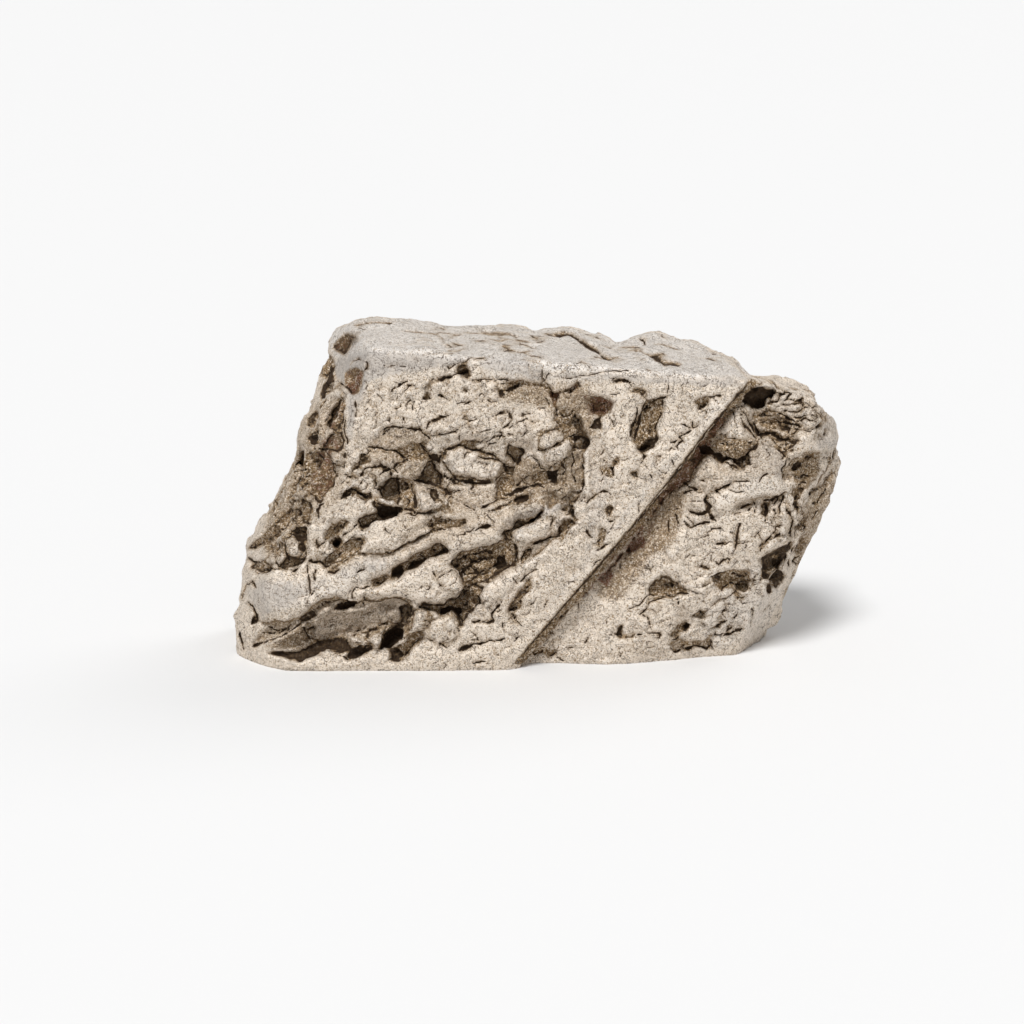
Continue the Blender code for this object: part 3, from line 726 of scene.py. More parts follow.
FRONT_FINE = (
    *cracks(1.8, 0.4, 0.65,
        (625,352, 645,352, 665,357), (430,328, 446,330), (484,333, 500,333), (488,338, 497,341, 505,341),
        (520,350, 533,358), (400,331, 520,336), (500,344, 512,350, 530,352), (350,332, 362,333),
        (420,355, 455,351), (655,344, 680,349)),
    *cracks(2, 1.2, 0.6,
        (391,412, 390,425), (525,421, 529,430, 523,435), (520,436, 532,432), (470,379, 500,379, 510,381),
        (560,379, 613,371, 631,371), (480,451, 484,444, 492,440, 502,436, 508,437),
        (470,442, 480,442, 490,437), (485,449, 490,445, 499,444),
        (358,484, 362,479, 367,482, 366,488, 360,489, 358,484), (368,474, 373,478, 376,484, 372,489),
        (516,486, 524,482, 528,474), (528,464, 532,468, 536,464), (562,420, 568,424, 574,420),
        (560,500, 566,496, 570,500), (276,506, 271,505, 271,512), (452,566, 460,564, 466,568, 474,565),
        (640,424, 643,432, 640,440), (648,420, 650,428, 647,436), (733,441, 735,452), (690,500, 704,500),
        (706,536, 712,530, 722,528, 728,532), (740,601, 744,605, 749,604), (683,559, 688,556, 695,556),
        (695,541, 712,536), (716,542, 726,544, 733,542), (752,500, 756,508, 753,516),
        (440,378, 434,377, 430,381), (364,380, 367,385, 363,390)),
    *cracks(2, 1.2, 0.75,
        (390,392, 392,388, 407,381), (376,478, 383,471, 392,466), (402,482, 408,486, 404,491),
        (427,490, 441,483), (540,438, 549,430, 558,429), (323,372, 328,374, 332,370),
        (462,572, 470,575, 478,571, 486,570), (641,464, 647,466, 652,465), (736,403, 744,417),
        (739,402, 748,418), (743,402, 749,415), (648,561, 650,568, 642,569)),
    *cracks(2.3, 1.4, 0.6,
        (306,625, 306,634, 310,641), (262,632, 272,632, 296,624), (373,582, 380,584, 388,580),
        (404,512, 415,515, 436,510), (376,637, 388,626), (452,366, 471,358), (455,404, 464,402, 471,407),
        (459,417, 470,420, 478,419), (492,416, 500,412, 508,414, 510,420, 506,427, 500,430),
        (535,410, 546,410), (549,370, 546,378, 540,384), (570,452, 574,462, 572,474, 576,486),
        (347,448, 344,468), (418,588, 424,584, 430,586, 426,590), (462,533, 476,527),
        (470,632, 476,634, 478,640, 471,640), (404,657, 410,648, 426,633), (700,386, 711,383),
        (708,397, 716,398, 722,396), (614,520, 609,536), (764,448, 768,456, 765,462),
        (710,478, 717,480, 722,476), (773,508, 776,514, 772,520), (694,588, 712,584), (762,612, 772,604),
        (806,552, 784,597), (352,365, 353,360, 358,358, 362,361)),
    *cracks(2.3, 1.4, 0.75,
        (353,641, 360,645, 370,646), (240,632, 244,650), (266,627, 275,629, 284,627),
        (309,566, 309,590, 312,595, 315,588), (315,572, 315,580, 318,568),
        (263,570, 270,572, 280,570, 290,571), (355,599, 353,593, 356,588, 365,589, 370,587),
        (340,537, 357,523), (405,385, 410,384, 415,387), (431,437, 460,430),
        (384,434, 386,430, 395,428, 404,430), (403,416, 404,425), (516,420, 527,419), (356,401, 357,419),
        (541,368, 543,376, 549,384, 552,392), (612,379, 626,380, 635,384),
        (465,481, 471,482, 473,487, 469,492), (359,478, 366,471, 376,466, 390,465),
        (393,468, 398,473, 396,478), (392,467, 408,459), (374,500, 378,511), (453,498, 476,512),
        (526,458, 532,455, 538,461, 540,468, 548,470), (586,450, 585,460), (548,476, 552,466, 558,462),
        (344,420, 346,446), (337,463, 344,465, 347,460), (246,556, 254,562, 270,556),
        (272,551, 274,560, 280,568), (317,547, 325,541, 328,536), (470,560, 478,563, 486,560, 494,563),
        (468,555, 476,556, 486,552, 494,554), (511,612, 524,628), (524,590, 530,585, 531,579),
        (497,650, 497,655, 503,657), (556,656, 566,661), (601,470, 605,476, 602,480), (650,470, 651,479),
        (732,410, 738,426), (722,437, 730,439, 738,437), (719,443, 728,446, 736,444, 744,447),
        (726,440, 727,450), (757,424, 764,421, 770,424), (755,414, 762,412, 768,414),
        (774,408, 782,404, 790,406, 800,403), (780,412, 790,410, 800,412, 808,409),
        (792,415, 800,418, 812,416, 820,417), (796,421, 818,421), (784,398, 799,402, 804,398),
        (798,399, 803,406, 802,411), (806,404, 812,408, 818,404), (820,409, 827,420),
        (770,394, 777,388, 784,385), (750,380, 757,384, 764,380), (752,376, 760,377, 768,381),
        (790,387, 811,391), (786,452, 792,450, 797,452), (757,484, 762,477, 769,474),
        (682,482, 698,491, 706,490), (694,494, 688,490, 684,494), (728,490, 736,492, 742,490),
        (786,459, 783,480), (800,478, 806,474, 812,478), (798,486, 804,482, 810,484),
        (806,464, 812,466, 818,462), (838,449, 829,465), (826,487, 815,510), (741,509, 752,503),
        (790,503, 796,505, 798,512, 794,517), (709,576, 748,570), (690,590, 704,594),
        (714,632, 718,636, 724,634), (796,519, 803,521, 808,517), (800,504, 806,507, 812,505),
        (795,526, 803,527, 807,522), (784,552, 785,562, 781,570), (626,610, 652,595), (582,645, 589,636),
        (456,365, 450,368, 446,364), (362,361, 366,363, 366,369, 363,372)),
    *cracks(2.3, 1.4, 0.9,
        (330,652, 350,660), (475,456, 500,461, 508,465),
        (400,508, 410,509, 416,514, 425,513, 433,508, 445,506), (560,411, 565,416, 570,413, 572,409),
        (549,659, 557,650), (611,381, 628,382, 634,387), (683,424, 690,428, 702,424), (697,424, 699,439),
        (715,563, 719,565, 723,561, 727,560, 728,565), (640,614, 650,603, 676,595),
        (641,613, 647,618, 652,631)),
    *cracks(2.4, -1.6, 0,
        (330,640, 345,637, 355,640, 362,637), (651,402, 651,410, 648,416), (738,404, 744,416),
        (739,457, 741,466), (746,455, 748,464), (772,413, 786,421, 800,425)),
    *cracks(2.7, 1.6, 0.6,
        (440,643, 450,650), (440,660, 446,664, 442,670), (593,463, 599,466)),
    *cracks(2.7, 1.6, 0.75,
        (430,378, 434,376), (480,399, 483,394, 486,397, 483,402), (562,462, 566,470, 562,478),
        (323,502, 318,510, 320,520), (521,563, 523,556, 527,551, 534,549), (472,664, 488,661),
        (616,381, 619,384), (671,443, 676,443, 680,440), (788,432, 798,430, 808,431, 816,428),
        (764,404, 776,401, 785,391, 790,393, 783,403), (762,500, 772,499, 786,492),
        (720,592, 726,586, 732,584, 740,586), (700,618, 712,616, 722,610, 727,604, 732,603),
        (794,556, 792,552, 796,545), (794,540, 796,530, 801,523, 806,527, 800,532),
        (798,511, 804,515, 808,510)),
    *cracks(2.7, 1.6, 0.9,
        (252,647, 300,626, 312,619), (240,601, 244,584, 250,581, 258,589), (246,600, 259,621),
        (356,574, 366,569), (440,380, 466,371), (425,430, 429,424, 441,416, 451,415),
        (404,430, 420,432, 430,440), (390,470, 392,477), (480,509, 508,497), (490,511, 508,503, 513,499),
        (537,441, 539,450, 546,449), (558,404, 558,413), (572,503, 572,515, 576,522),
        (360,529, 390,517, 402,509), (306,455, 292,468), (293,471, 300,469, 308,470), (312,446, 313,452),
        (318,408, 330,390), (325,385, 330,382), (438,577, 451,570), (439,579, 441,585, 447,586),
        (459,653, 470,646, 487,641, 504,639), (457,627, 460,633), (630,437, 637,408), (634,438, 644,400),
        (661,400, 662,409), (608,475, 614,475, 613,468, 615,462), (605,519, 610,521, 614,518),
        (747,417, 754,433), (770,410, 786,418, 798,421), (702,469, 705,474), (689,510, 700,515, 710,509),
        (817,511, 811,521), (747,511, 751,508), (782,523, 775,528, 761,546, 761,552), (755,533, 762,541),
        (735,546, 740,543, 746,545, 744,549, 739,549), (712,627, 728,620), (711,640, 713,646, 717,648),
        (800,555, 796,562, 799,568), (674,594, 680,592, 690,592), (458,374, 452,377, 438,378),
        (353,326, 365,322, 393,322)),
    Groove((446,343, 453,346), 3, 0.4, 1),
    *cracks(3.1, 1.9, 0.75,
        (372,451, 360,453), (452,478, 466,483, 480,484, 494,480), (441,474, 458,484),
        (311,563, 320,561, 327,566), (722,464, 738,468), (830,462, 818,486)),
    *cracks(3.1, 1.9, 0.9,
        (309,562, 318,562, 326,566), (327,571, 334,573, 341,569), (290,570, 295,572, 301,567),
        (439,396, 451,401), (383,435, 388,434), (504,390, 520,385),
        (341,498, 347,491, 355,488, 367,496, 372,495), (372,489, 382,490), (377,504, 388,507, 400,507),
        (410,483, 416,498, 413,510), (289,499, 308,486), (317,424, 315,440), (258,575, 266,569, 276,570),
        (432,571, 437,577), (518,584, 524,577, 538,570), (660,412, 661,417, 653,430), (640,392, 649,400),
        (690,430, 680,438, 684,442, 678,447, 680,452), (586,506, 590,500, 602,492, 608,493, 612,497),
        (775,420, 801,428), (757,437, 772,434, 780,438, 790,439), (814,408, 822,418, 826,415),
        (767,376, 778,384, 780,389), (802,384, 808,386, 812,384), (772,446, 786,458),
        (730,482, 740,482, 752,479), (708,491, 706,498, 709,504, 709,512, 712,519, 716,523),
        (810,504, 816,503), (812,493, 811,498), (786,508, 792,519, 793,530, 791,541), (773,538, 780,531),
        (750,538, 760,529), (741,522, 735,548, 731,555), (723,598, 736,592, 742,596), (724,636, 743,630),
        (686,647, 694,645, 708,649, 713,643), (678,598, 679,605), (648,634, 660,632, 659,637, 656,637),
        (336,380, 347,389, 351,396)),
    *cracks(3.1, 1.9, 0.97,
        (369,447, 378,450, 397,452, 408,460), (418,444, 430,453),
        (438,463, 441,455, 447,450, 463,446, 470,448), (470,449, 488,453, 494,458),
        (404,496, 409,500, 406,506), (505,494, 536,485, 545,487), (549,448, 570,437, 578,435),
        (540,541, 550,537, 562,538), (474,531, 488,527, 493,523), (289,489, 312,474), (318,449, 331,449),
        (304,540, 307,558), (281,541, 292,562), (474,531, 492,523),
        (470,620, 485,624, 492,620, 490,614, 500,603), (649,398, 656,399), (653,398, 659,399, 668,396),
        (741,418, 751,434, 757,440), (731,478, 728,484, 716,490, 722,493), (682,521, 690,526, 711,522),
        (671,638, 682,635), (671,648, 676,651, 681,648), (636,635, 648,636)),
    *cracks(4, 2.2, 0.75,
        (400,367, 405,368), (643,412, 648,400), (692,419, 691,428), (622,491, 629,492), (726,602, 732,605)),
    *cracks(4, 2.2, 0.9,
        (582,462, 584,472, 583,490, 577,499, 572,502), (636,448, 650,446, 654,442),
        (751,420, 757,436, 763,441), (785,493, 780,508, 781,514), (700,612, 706,612, 724,597)),
    *cracks(4, 2.2, 0.97,
        (533,545, 548,538, 563,536), (655,432, 657,438, 652,449), (640,452, 643,458, 638,467),
        (765,503, 768,509, 764,523), (789,561, 790,568)),
    Hollow((249,624, 252,615, 257,614, 259,620), 4, 2, 0.8),
    Hollow((423,400, 425,392, 430,391, 429,400), 3, 1.8, 0.5, tan=0.6, rim_soot=0.6),
    Hollow((461,391, 463,385, 467,387, 466,392), 2.5, 1.5, 0.55, tan=0.5),
    Hollow((495,391, 503,390, 505,397, 499,396), 3, 2, 0.75),
    Hollow((550,391, 560,390, 558,408, 553,402), 3, 2, 0.35, rust=0.55, tan=1),
    Hollow((562,391, 578,383, 582,388, 576,392, 566,393), 3, 2, 0.6, rust=0.35, tan=1),
    Hollow((590,429, 595,422, 601,416, 602,430), 3.5, 2, 0.8),
    Hollow((455,446, 464,440, 476,440, 474,447), 3, 2, 0.4, tan=1),
    Hollow((431,490, 438,488, 440,498, 435,501, 431,497), 3.5, 2, 0.85),
    Hollow((555,412, 560,412, 560,426, 554,422), 3, 2, 0.6, tan=1),
    Hollow((562,508, 570,502, 573,506, 573,516), 4, 2.5, 0.5, tan=1, rim_soot=0.7),
    Hollow((556,540, 558,527, 564,520, 573,524, 570,531, 562,538), 5, 2.5, 0.6, tan=1),
    Hollow((531,651, 540,648, 556,649, 552,656, 548,659, 541,655, 533,656), 3, 3, 0.2, tan=1, rim_soot=0.4),
    Scarp((551,332, 568,333, 575,336, 610,359), 3.2, 6, 1, dark_width=1.1),
    Scarp((636,338, 644,340, 650,345), 2.6, 5, 1, dark_width=1.1),
    Scarp((650,352, 665,360, 675,363, 684,363), 3.4, 6, 1, dark_width=1.5),
    Hollow((334,347, 340,338, 346,338, 351,343, 343,355), 1.2, 3, 0.2, rust=0.2, tan=0.9, rim_soot=0.4),
    Hollow((341,350, 343,344, 349,343, 347,349, 343,353), 0.5, 2, 0.6),
)

BAND_EDGE = (519,657, 629,529, 666,484, 698,441, 748,382)
BAND_FOOT = (530,651, 543,641, 567,612, 616,563, 628,549, 660,504, 676,486)
SLOT = (
    Wall(BAND_EDGE, 5.5, 7.5, 50.0, 1.2, 1.0),
    Groove(BAND_FOOT, 3.2, 1.2, 0.62, rust=0.5),
    Hollow((735,404, 730,415, 712,440, 713,448, 680,489, 661,503, 658,498, 700,441, 718,420), 2.4, 3, 0.5,
        rust=0.5, tan=0.7, rim_soot=0.8),
    Hollow((627,551, 630,543, 636,538, 645,537, 646,545, 640,551, 632,553), 3, 3, 0.4, rust=0.95),
    Wash(Layer.RUST, (652,500, 670,484, 690,470, 658,520, 650,548, 618,566, 590,596, 580,600, 628,530), 0.3,
        6),
    Wash(Layer.RUST, (596,580, 604,570, 614,574, 606,588), 0.7, 5),
    Wash(Layer.SOOT, (652,512, 664,494, 672,492, 652,530, 640,536), 0.35, 4),
    Wash(Layer.TAN, (650,520, 668,494, 690,486, 676,540, 650,560, 610,600, 600,588), 0.6, 10),
)

FRONT_WASHES = (
    # How crumpled each part is
    Wash(Layer.TORN, (340,385, 500,385, 590,400, 740,385, 830,400, 838,480, 740,655, 260,665, 240,600,
        300,430), 0.4, 10),
    Wash(Layer.TORN, (345,385, 480,375, 585,385, 590,440, 345,440), 0.6, 12),
    Wash(Layer.TORN, (345,430, 430,440, 520,432, 590,436, 586,500, 560,530, 500,510, 380,520, 340,505), 0.65,
        14),
    Wash(Layer.TORN, (262,520, 310,430, 345,400, 345,470, 330,560, 262,575), 0.85, 12),
    Wash(Layer.TORN, (716,400, 760,378, 830,400, 838,470, 800,560, 780,480, 720,470), 0.75, 14),
    Wash(Layer.TORN, (450,560, 520,530, 530,560, 480,640, 400,660, 300,660, 250,640, 420,600), 0.55, 14),
    Wash(Layer.TORN, (690,470, 790,460, 790,560, 740,650, 660,650, 640,600, 700,560), 0.55, 18),
    # Smooth places
    Wash(Layer.CALM, (757,444, 772,450, 786,462, 784,480, 788,492, 760,497, 716,514, 712,500, 730,486,
        734,470, 752,470), 0.75, 6),
    Wash(Layer.CALM, (788,457, 815,440, 830,433, 838,442, 834,450), 0.75, 5),
    Wash(Layer.CALM, (732,404, 742,402, 757,437, 750,441, 730,438, 724,422), 0.7, 4),
    Wash(Layer.CALM, (342,386, 338,366, 350,352, 370,350, 396,354, 398,372, 380,380, 352,410), 0.7, 6),
    Wash(Layer.CALM, (476,358, 534,362, 544,374, 520,380, 480,376), 0.7, 6),
    Wash(Layer.CALM, (243,588, 258,578, 320,570, 400,556, 440,568, 400,597, 330,597, 300,616, 262,620), 0.75,
        8),
    Wash(Layer.CALM, (256,664, 262,656, 300,661, 380,661, 510,668, 510,690, 256,690), 0.8, 6),
    Wash(Layer.CALM, (737,396, 746,381, 736,381, 619,527, 510,655, 522,656, 631,529, 699,441), 0.85, 4),
    Wash(Layer.CALM, (337,368, 350,372, 356,410, 354,450, 342,486, 326,520, 316,560, 304,560, 312,520,
        330,484, 341,450, 344,410), 0.5, 6),
    Wash(Layer.CALM, (325,345, 338,366, 395,368, 549,378, 746,385, 760,372, 650,322, 330,310), 0.75, 8),
    Wash(Layer.CALM, (760,600, 800,560, 830,500, 840,520, 770,640, 730,660, 690,662, 700,652, 740,640), 0.7,
        6),
    # Films
    Wash(Layer.TAN, (262,520, 300,440, 330,396, 340,400, 334,470, 310,530, 262,570), 0.45, 12),
    Wash(Layer.SOOT, (268,510, 300,440, 322,400, 332,404, 326,470, 300,540, 266,556), 0.28, 10),
    Wash(Layer.RUST, (352,374, 361,373, 361,384, 357,396, 350,393), 0.45, 5),
    Wash(Layer.RUST, (318,440, 331,436, 336,480, 322,500, 311,484), 0.4, 6),
    Wash(Layer.TAN, (262,648, 312,618, 312,640, 300,650), 0.6, 6),
    Wash(Layer.TAN, (596,578, 612,566, 640,560, 650,566, 620,600, 596,600), 0.5, 10),
    Wash(Layer.TAN, (500,384, 590,384, 600,440, 560,440, 545,410, 500,400), 0.55, 14),
    Wash(Layer.TAN, (390,500, 470,480, 560,500, 520,530, 400,560), 0.35, 20),
    Wash(Layer.TAN, (655,470, 700,480, 670,540, 600,600, 590,590, 640,530), 0.35, 16),
    Wash(Layer.TAN, (720,440, 800,430, 812,500, 780,480, 730,480), 0.35, 14),
    Wash(Layer.TAN, (300,400, 345,400, 345,500, 300,530, 270,540), 0.4, 14),
    Wash(Layer.RUST, (583,396, 620,400, 612,416, 588,416), 0.35, 8),
    Wash(Layer.RUST, (344,370, 364,370, 362,400, 344,398), 0.25, 8),
    # Grey worn metal, and painted shade on the rounded shoulders below the top edge
    Wash(Layer.DULL, (331,372, 336,358, 344,352, 362,351, 470,357, 476,366, 440,368, 384,376, 366,384,
        360,402, 352,440, 346,440, 348,400, 344,384), 0.75, 7),
    Wash(Layer.DULL, (478,357, 530,361, 546,372, 730,378, 746,384, 738,388, 620,382, 540,380, 480,368), 0.65,
        6),
    Wash(Layer.DULL, (245,590, 262,578, 290,580, 310,590, 296,606, 262,618, 248,604), 0.55, 12),
    Wash(Layer.DULL, (330,572, 372,556, 392,560, 380,572, 346,580), 0.5, 8),
    Wash(Layer.DULL, (500,520, 584,488, 582,500, 540,520, 512,530), 0.6, 8),
    Wash(Layer.DULL, (590,480, 604,460, 612,480, 590,560, 584,540), 0.45, 10),
    Wash(Layer.DULL, (740,392, 748,388, 724,422, 640,524, 634,520), 0.35, 6),
    Wash(Layer.DULL, (757,444, 766,440, 786,462, 784,486), 0.6, 6),
    Wash(Layer.DULL, (800,380, 822,384, 840,420, 838,452, 812,446, 826,420), 0.5, 8),
    Wash(Layer.DULL, (770,380, 800,384, 814,410, 800,436, 776,420, 768,400), 0.4, 10),
    # Bare metal
    Wash(Layer.BRIGHT, (325,345, 338,357, 395,356, 480,362, 549,372, 746,380, 760,370, 650,322, 330,310), 0.9,
        10),
    Wash(Layer.BRIGHT, (340,357, 350,348, 400,350, 430,366, 396,380, 370,384, 356,404, 346,398), 0.35, 14),
    Wash(Layer.BRIGHT, (478,356, 534,364, 540,378, 512,380, 480,379), 0.5, 8),
    Wash(Layer.BRIGHT, (258,582, 300,578, 390,560, 392,574, 345,598, 264,616), 0.45, 14),
    Wash(Layer.BRIGHT, (720,396, 740,390, 620,528, 560,600, 536,620, 600,540), 0.45, 8),
    Wash(Layer.BRIGHT, (755,560, 790,590, 760,640, 700,655, 700,610), 0.5, 16),
    Wash(Layer.BRIGHT, (512,522, 560,500, 556,515, 516,540), 0.5, 8),
    Wash(Layer.BRIGHT, (757,444, 772,450, 786,462, 782,492, 740,500, 714,512, 714,498, 740,486), 0.45, 10),
    Wash(Layer.TAN, (684,478, 706,452, 730,474, 722,492, 700,512, 676,500), 0.3, 10),
    Wash(Layer.TAN, (714,436, 752,438, 756,448, 730,460, 712,450), 0.7, 6),
    Wash(Layer.TAN, (793,462, 806,450, 820,452, 820,474, 808,492, 798,498), 0.7, 5),
    Wash(Layer.TAN, (800,516, 832,470, 840,486, 818,556, 800,592, 796,560), 0.5, 8),
    Wash(Layer.SOOT, (804,506, 828,480, 834,500, 812,556, 802,560), 0.3, 8),
    Wash(Layer.SOOT, (750,408, 776,408, 796,424, 800,440, 776,440, 754,432), 0.22, 8),
)


@dataclass(frozen=True)
class Nudge:
    """A soft push on the outline: its place on the camera's sheet, the push and how far it reaches."""

    place: tuple
    push: tuple
    reach: float


NUDGES = (
    # The top edge, from left to right
    Nudge((340, 314), (2, 10), 11),
    Nudge((378, 322), (0, -5), 24),
    Nudge((420, 323), (0, -4), 24),
    Nudge((533, 321), (0, 6), 14),
    Nudge((616, 333), (0, 7), 15),
    Nudge((657, 335), (0, -4), 16),
    Nudge((752, 362), (-2, 12), 11),
    Nudge((766, 368), (0, 5), 10),
    # The right end
    Nudge((829, 402), (-7, 5), 14),
    Nudge((843, 450), (-6, 0), 20),
    # The left end
    Nudge((265, 497), (9, 6), 18),
    Nudge((256, 662), (-3, 7), 16),
)


# ---- The sides that are guessed: marks laid by a seeded rule ----


@dataclass(frozen=True)
class Strewn:
    """Marks laid by a seeded rule over a box of a sheet.

    Attributes:
        box: Left, top, right and bottom of the area.
        slants: The directions that the marks follow, in degrees.
        ledges: How many long steps.
        pits: How many hollows.
        plates: How many raised plates.
        cracks: How many cracks.
        seed: Fixes the pattern.
        length: Shortest and longest crack.
        width: Width of the cracks.
        depth: Shallowest and deepest crack.
        soot: Faintest and darkest crack.
    """

    box: tuple
    slants: tuple
    ledges: int
    pits: int
    plates: int
    cracks: int
    seed: int
    length: tuple = (8.0, 28.0)
    width: float = 2.6
    depth: tuple = (1.0, 1.9)
    soot: tuple = (0.45, 0.95)

    def start(self, chance: np.random.Generator) -> tuple[Array, float]:
        """Pick a place in the box and one of the directions, in radians."""
        place = chance.uniform(self.box[:2], self.box[2:])
        return place, math.radians(chance.choice(self.slants) + chance.normal(0.0, 9.0))

    def line(self, chance: np.random.Generator, length: float, step: float) -> tuple:
        """Draw a line that wanders along one of the directions.

        Args:
            chance: Where the random numbers come from.
            length: The line's length.
            step: Distance between its corners.

        Returns:
            The corners.
        """
        place, heading = self.start(chance)
        corners = [tuple(place)]
        turn = heading
        for _ in range(max(2, round(length / step))):
            turn = heading + 0.5 * (turn - heading) + chance.normal(0.0, 0.45)
            place = place + step * np.array((math.cos(turn), math.sin(turn)))
            corners.append(tuple(place))
        return tuple(corners)

    def patch(self, chance: np.random.Generator, low: float, high: float) -> tuple:
        """Draw a closed uneven outline that is longest along one of the directions.

        Args:
            chance: Where the random numbers come from.
            low: Smallest half length.
            high: Largest half length.

        Returns:
            The corners.
        """
        size = chance.uniform(low, high)
        place, heading = self.start(chance)
        narrow = size * chance.uniform(0.3, 0.6)
        corners = []
        for angle in np.linspace(0.0, 2.0 * math.pi, 10, endpoint=False):
            reach = chance.uniform(0.65, 1.25)
            along, across = reach * size * math.cos(angle), reach * narrow * math.sin(angle)
            corners.append((place[0] + along * math.cos(heading) - across * math.sin(heading),
                            place[1] + along * math.sin(heading) + across * math.cos(heading)))
        return tuple(corners)

    def broad(self) -> tuple:
        """Make the large marks.

        Returns:
            The steps, plates and hollows.
        """
        chance = np.random.default_rng(self.seed)
        made = []
        for _ in range(self.ledges):
            line = self.line(chance, chance.uniform(60.0, 190.0), 13.0)
            made.append(Scarp(line, chance.uniform(4.0, 9.0), chance.uniform(16.0, 40.0),
                              chance.uniform(0.5, 0.9), dark_width=chance.uniform(1.6, 3.2)))
        for _ in range(self.plates):
            made.append(Plate(self.patch(chance, 12.0, 26.0), chance.uniform(3.0, 5.0), 5.0, 0.25, 0.5))
        for _ in range(self.pits):
            made.append(Hollow(self.patch(chance, 6.0, 20.0), chance.uniform(4.0, 9.0), 2.5,
                               chance.uniform(0.3, 0.95), tan=1.0, rim_soot=chance.uniform(0.3, 0.9)))
        return tuple(made)

    def fine(self) -> tuple:
        """Make the small marks.

        Returns:
            The cracks.
        """
        chance = np.random.default_rng(self.seed + 100)
        made = []
        for _ in range(self.cracks):
            line = self.line(chance, chance.uniform(*self.length), 6.0)
            made.append(Groove(line, self.width * chance.uniform(0.8, 1.3), chance.uniform(*self.depth),
                               chance.uniform(*self.soot)))
        return tuple(made)

    def tints(self) -> tuple:
        """Make the washes.

        Returns:
            Patches of brown film, of smooth metal and of rust.
        """
        chance = np.random.default_rng(self.seed + 200)
        rules = ((Layer.TAN, self.pits // 3, 20.0, 45.0, 0.55, 14.0),
                 (Layer.CALM, self.plates, 30.0, 70.0, 0.9, 16.0),
                 (Layer.RUST, self.pits // 6, 6.0, 12.0, 0.6, 6.0))
        return tuple(Wash(layer, self.patch(chance, low, high), strength, soft)
                     for layer, count, low, high, strength, soft in rules for _ in range(count))


FRONT_CRACKS = Strewn((262, 385, 800, 655), (-24.0, -60.0, 20.0), 0, 0, 0, 230, 31, (4.0, 13.0), 1.5,
                      (0.7, 1.3), (0.4, 0.8))
TOP_STREAKS = Strewn((352, 326, 730, 366), (0.0, 4.0, 12.0), 0, 0, 0, 60, 32, (7.0, 20.0), 1.1, (0.1, 0.3),
                     (0.7, 1.0))
GUESSED = {
    Side.BACK: Strewn((205, 190, 820, 505), (-24.0, 58.0), 20, 22, 12, 150, 21),
    Side.LEFT: Strewn((395, 200, 630, 505), (-35.0, 70.0), 7, 9, 4, 60, 22),
    Side.RIGHT: Strewn((395, 190, 630, 500), (-20.0, 62.0), 9, 10, 5, 70, 23),
}


# ---- The skin: arrays on a mesh ----


class Skin:
    """The fragment's surface, held as a mesh and read as arrays in millimetres."""

    def __init__(self, mesh: bpy.types.Mesh) -> None:
        """Read a mesh.

        Args:
            mesh: The mesh, in metres.
        """
        self.mesh = mesh
        self.count = len(mesh.vertices)
        self.points = np.empty(self.count * 3, np.float32)
        mesh.vertices.foreach_get("co", self.points)
        self.points = self.points.reshape(-1, 3).astype(float) / MM
        edges = np.empty(len(mesh.edges) * 2, np.int32)
        mesh.edges.foreach_get("vertices", edges)
        self.edges = edges.reshape(-1, 2)
        self.degree = np.maximum(np.bincount(self.edges.ravel(), minlength=self.count), 1)

    def store(self) -> None:
        """Write the points back to the mesh."""
        self.mesh.vertices.foreach_set("co", (self.points * MM).astype(np.float32).ravel())
        self.mesh.update()

    def normals(self) -> Array:
        """Give the normal at each point, from the mesh as stored."""
        found = np.empty(self.count * 3, np.float32)
        self.mesh.vertex_normals.foreach_get("vector", found)
        return found.reshape(-1, 3).astype(float)

    def mean(self, values: Array) -> Array:
        """Give the mean of the neighbours' values at each point."""
        first, second = self.edges[:, 0], self.edges[:, 1]
        ahead = np.bincount(first, values[second], self.count)
        return (ahead + np.bincount(second, values[first], self.count)) / self.degree

    def relaxed(self, rows: Array, rounds: int, share: float = 0.5) -> Array:
        """Smooth rows of values over the surface.

        Args:
            rows: One row for each point.
            rounds: How many times each value moves towards its neighbours' mean.
            share: How far it moves each time.

        Returns:
            The smoothed rows.
        """
        made = rows.copy()
        for _ in range(rounds):
            for column in range(made.shape[1]):
                made[:, column] += share * (self.mean(made[:, column]) - made[:, column])
        return made

    def facing(self, rounds: int) -> Array:
        """Give the directions that the broad shape faces, smoothed for some rounds."""
        return of_length_one(self.relaxed(self.normals(), rounds))

    def mark(self, name: str, values: Array) -> None:
        """Store values as a named attribute."""
        layer = self.mesh.attributes.get(name) or self.mesh.attributes.new(name, "FLOAT", "POINT")
        layer.data.foreach_set("value", np.asarray(values, np.float32))

    def read(self, name: str) -> Array:
        """Read a named attribute."""
        found = np.zeros(self.count, np.float32)
        self.mesh.attributes[name].data.foreach_get("value", found)
        return found.astype(float)


def linked(name: str, data: bpy.types.ID | None) -> bpy.types.Object:
    """Make an object and link it to the scene."""
    item = bpy.data.objects.new(name, data)
    bpy.context.scene.collection.objects.link(item)
    return item


def evaluated_mesh(item: bpy.types.Object) -> bpy.types.Mesh:
    """Turn an object with its modifiers into a plain mesh."""
    graph = bpy.context.evaluated_depsgraph_get()
    graph.update()
    return bpy.data.meshes.new_from_object(item.evaluated_get(graph), depsgraph=graph)


def used_up(carrier: bpy.types.Object) -> bpy.types.Mesh:
    """Apply a carrier's modifiers and delete it with the mesh that it held.

    Args:
        carrier: An object made only for its modifiers.

    Returns:
        The new mesh.
    """
    mesh = carrier.data
    made = evaluated_mesh(carrier)
    bpy.data.objects.remove(carrier, do_unlink=True)
    bpy.data.meshes.remove(mesh)
    return made


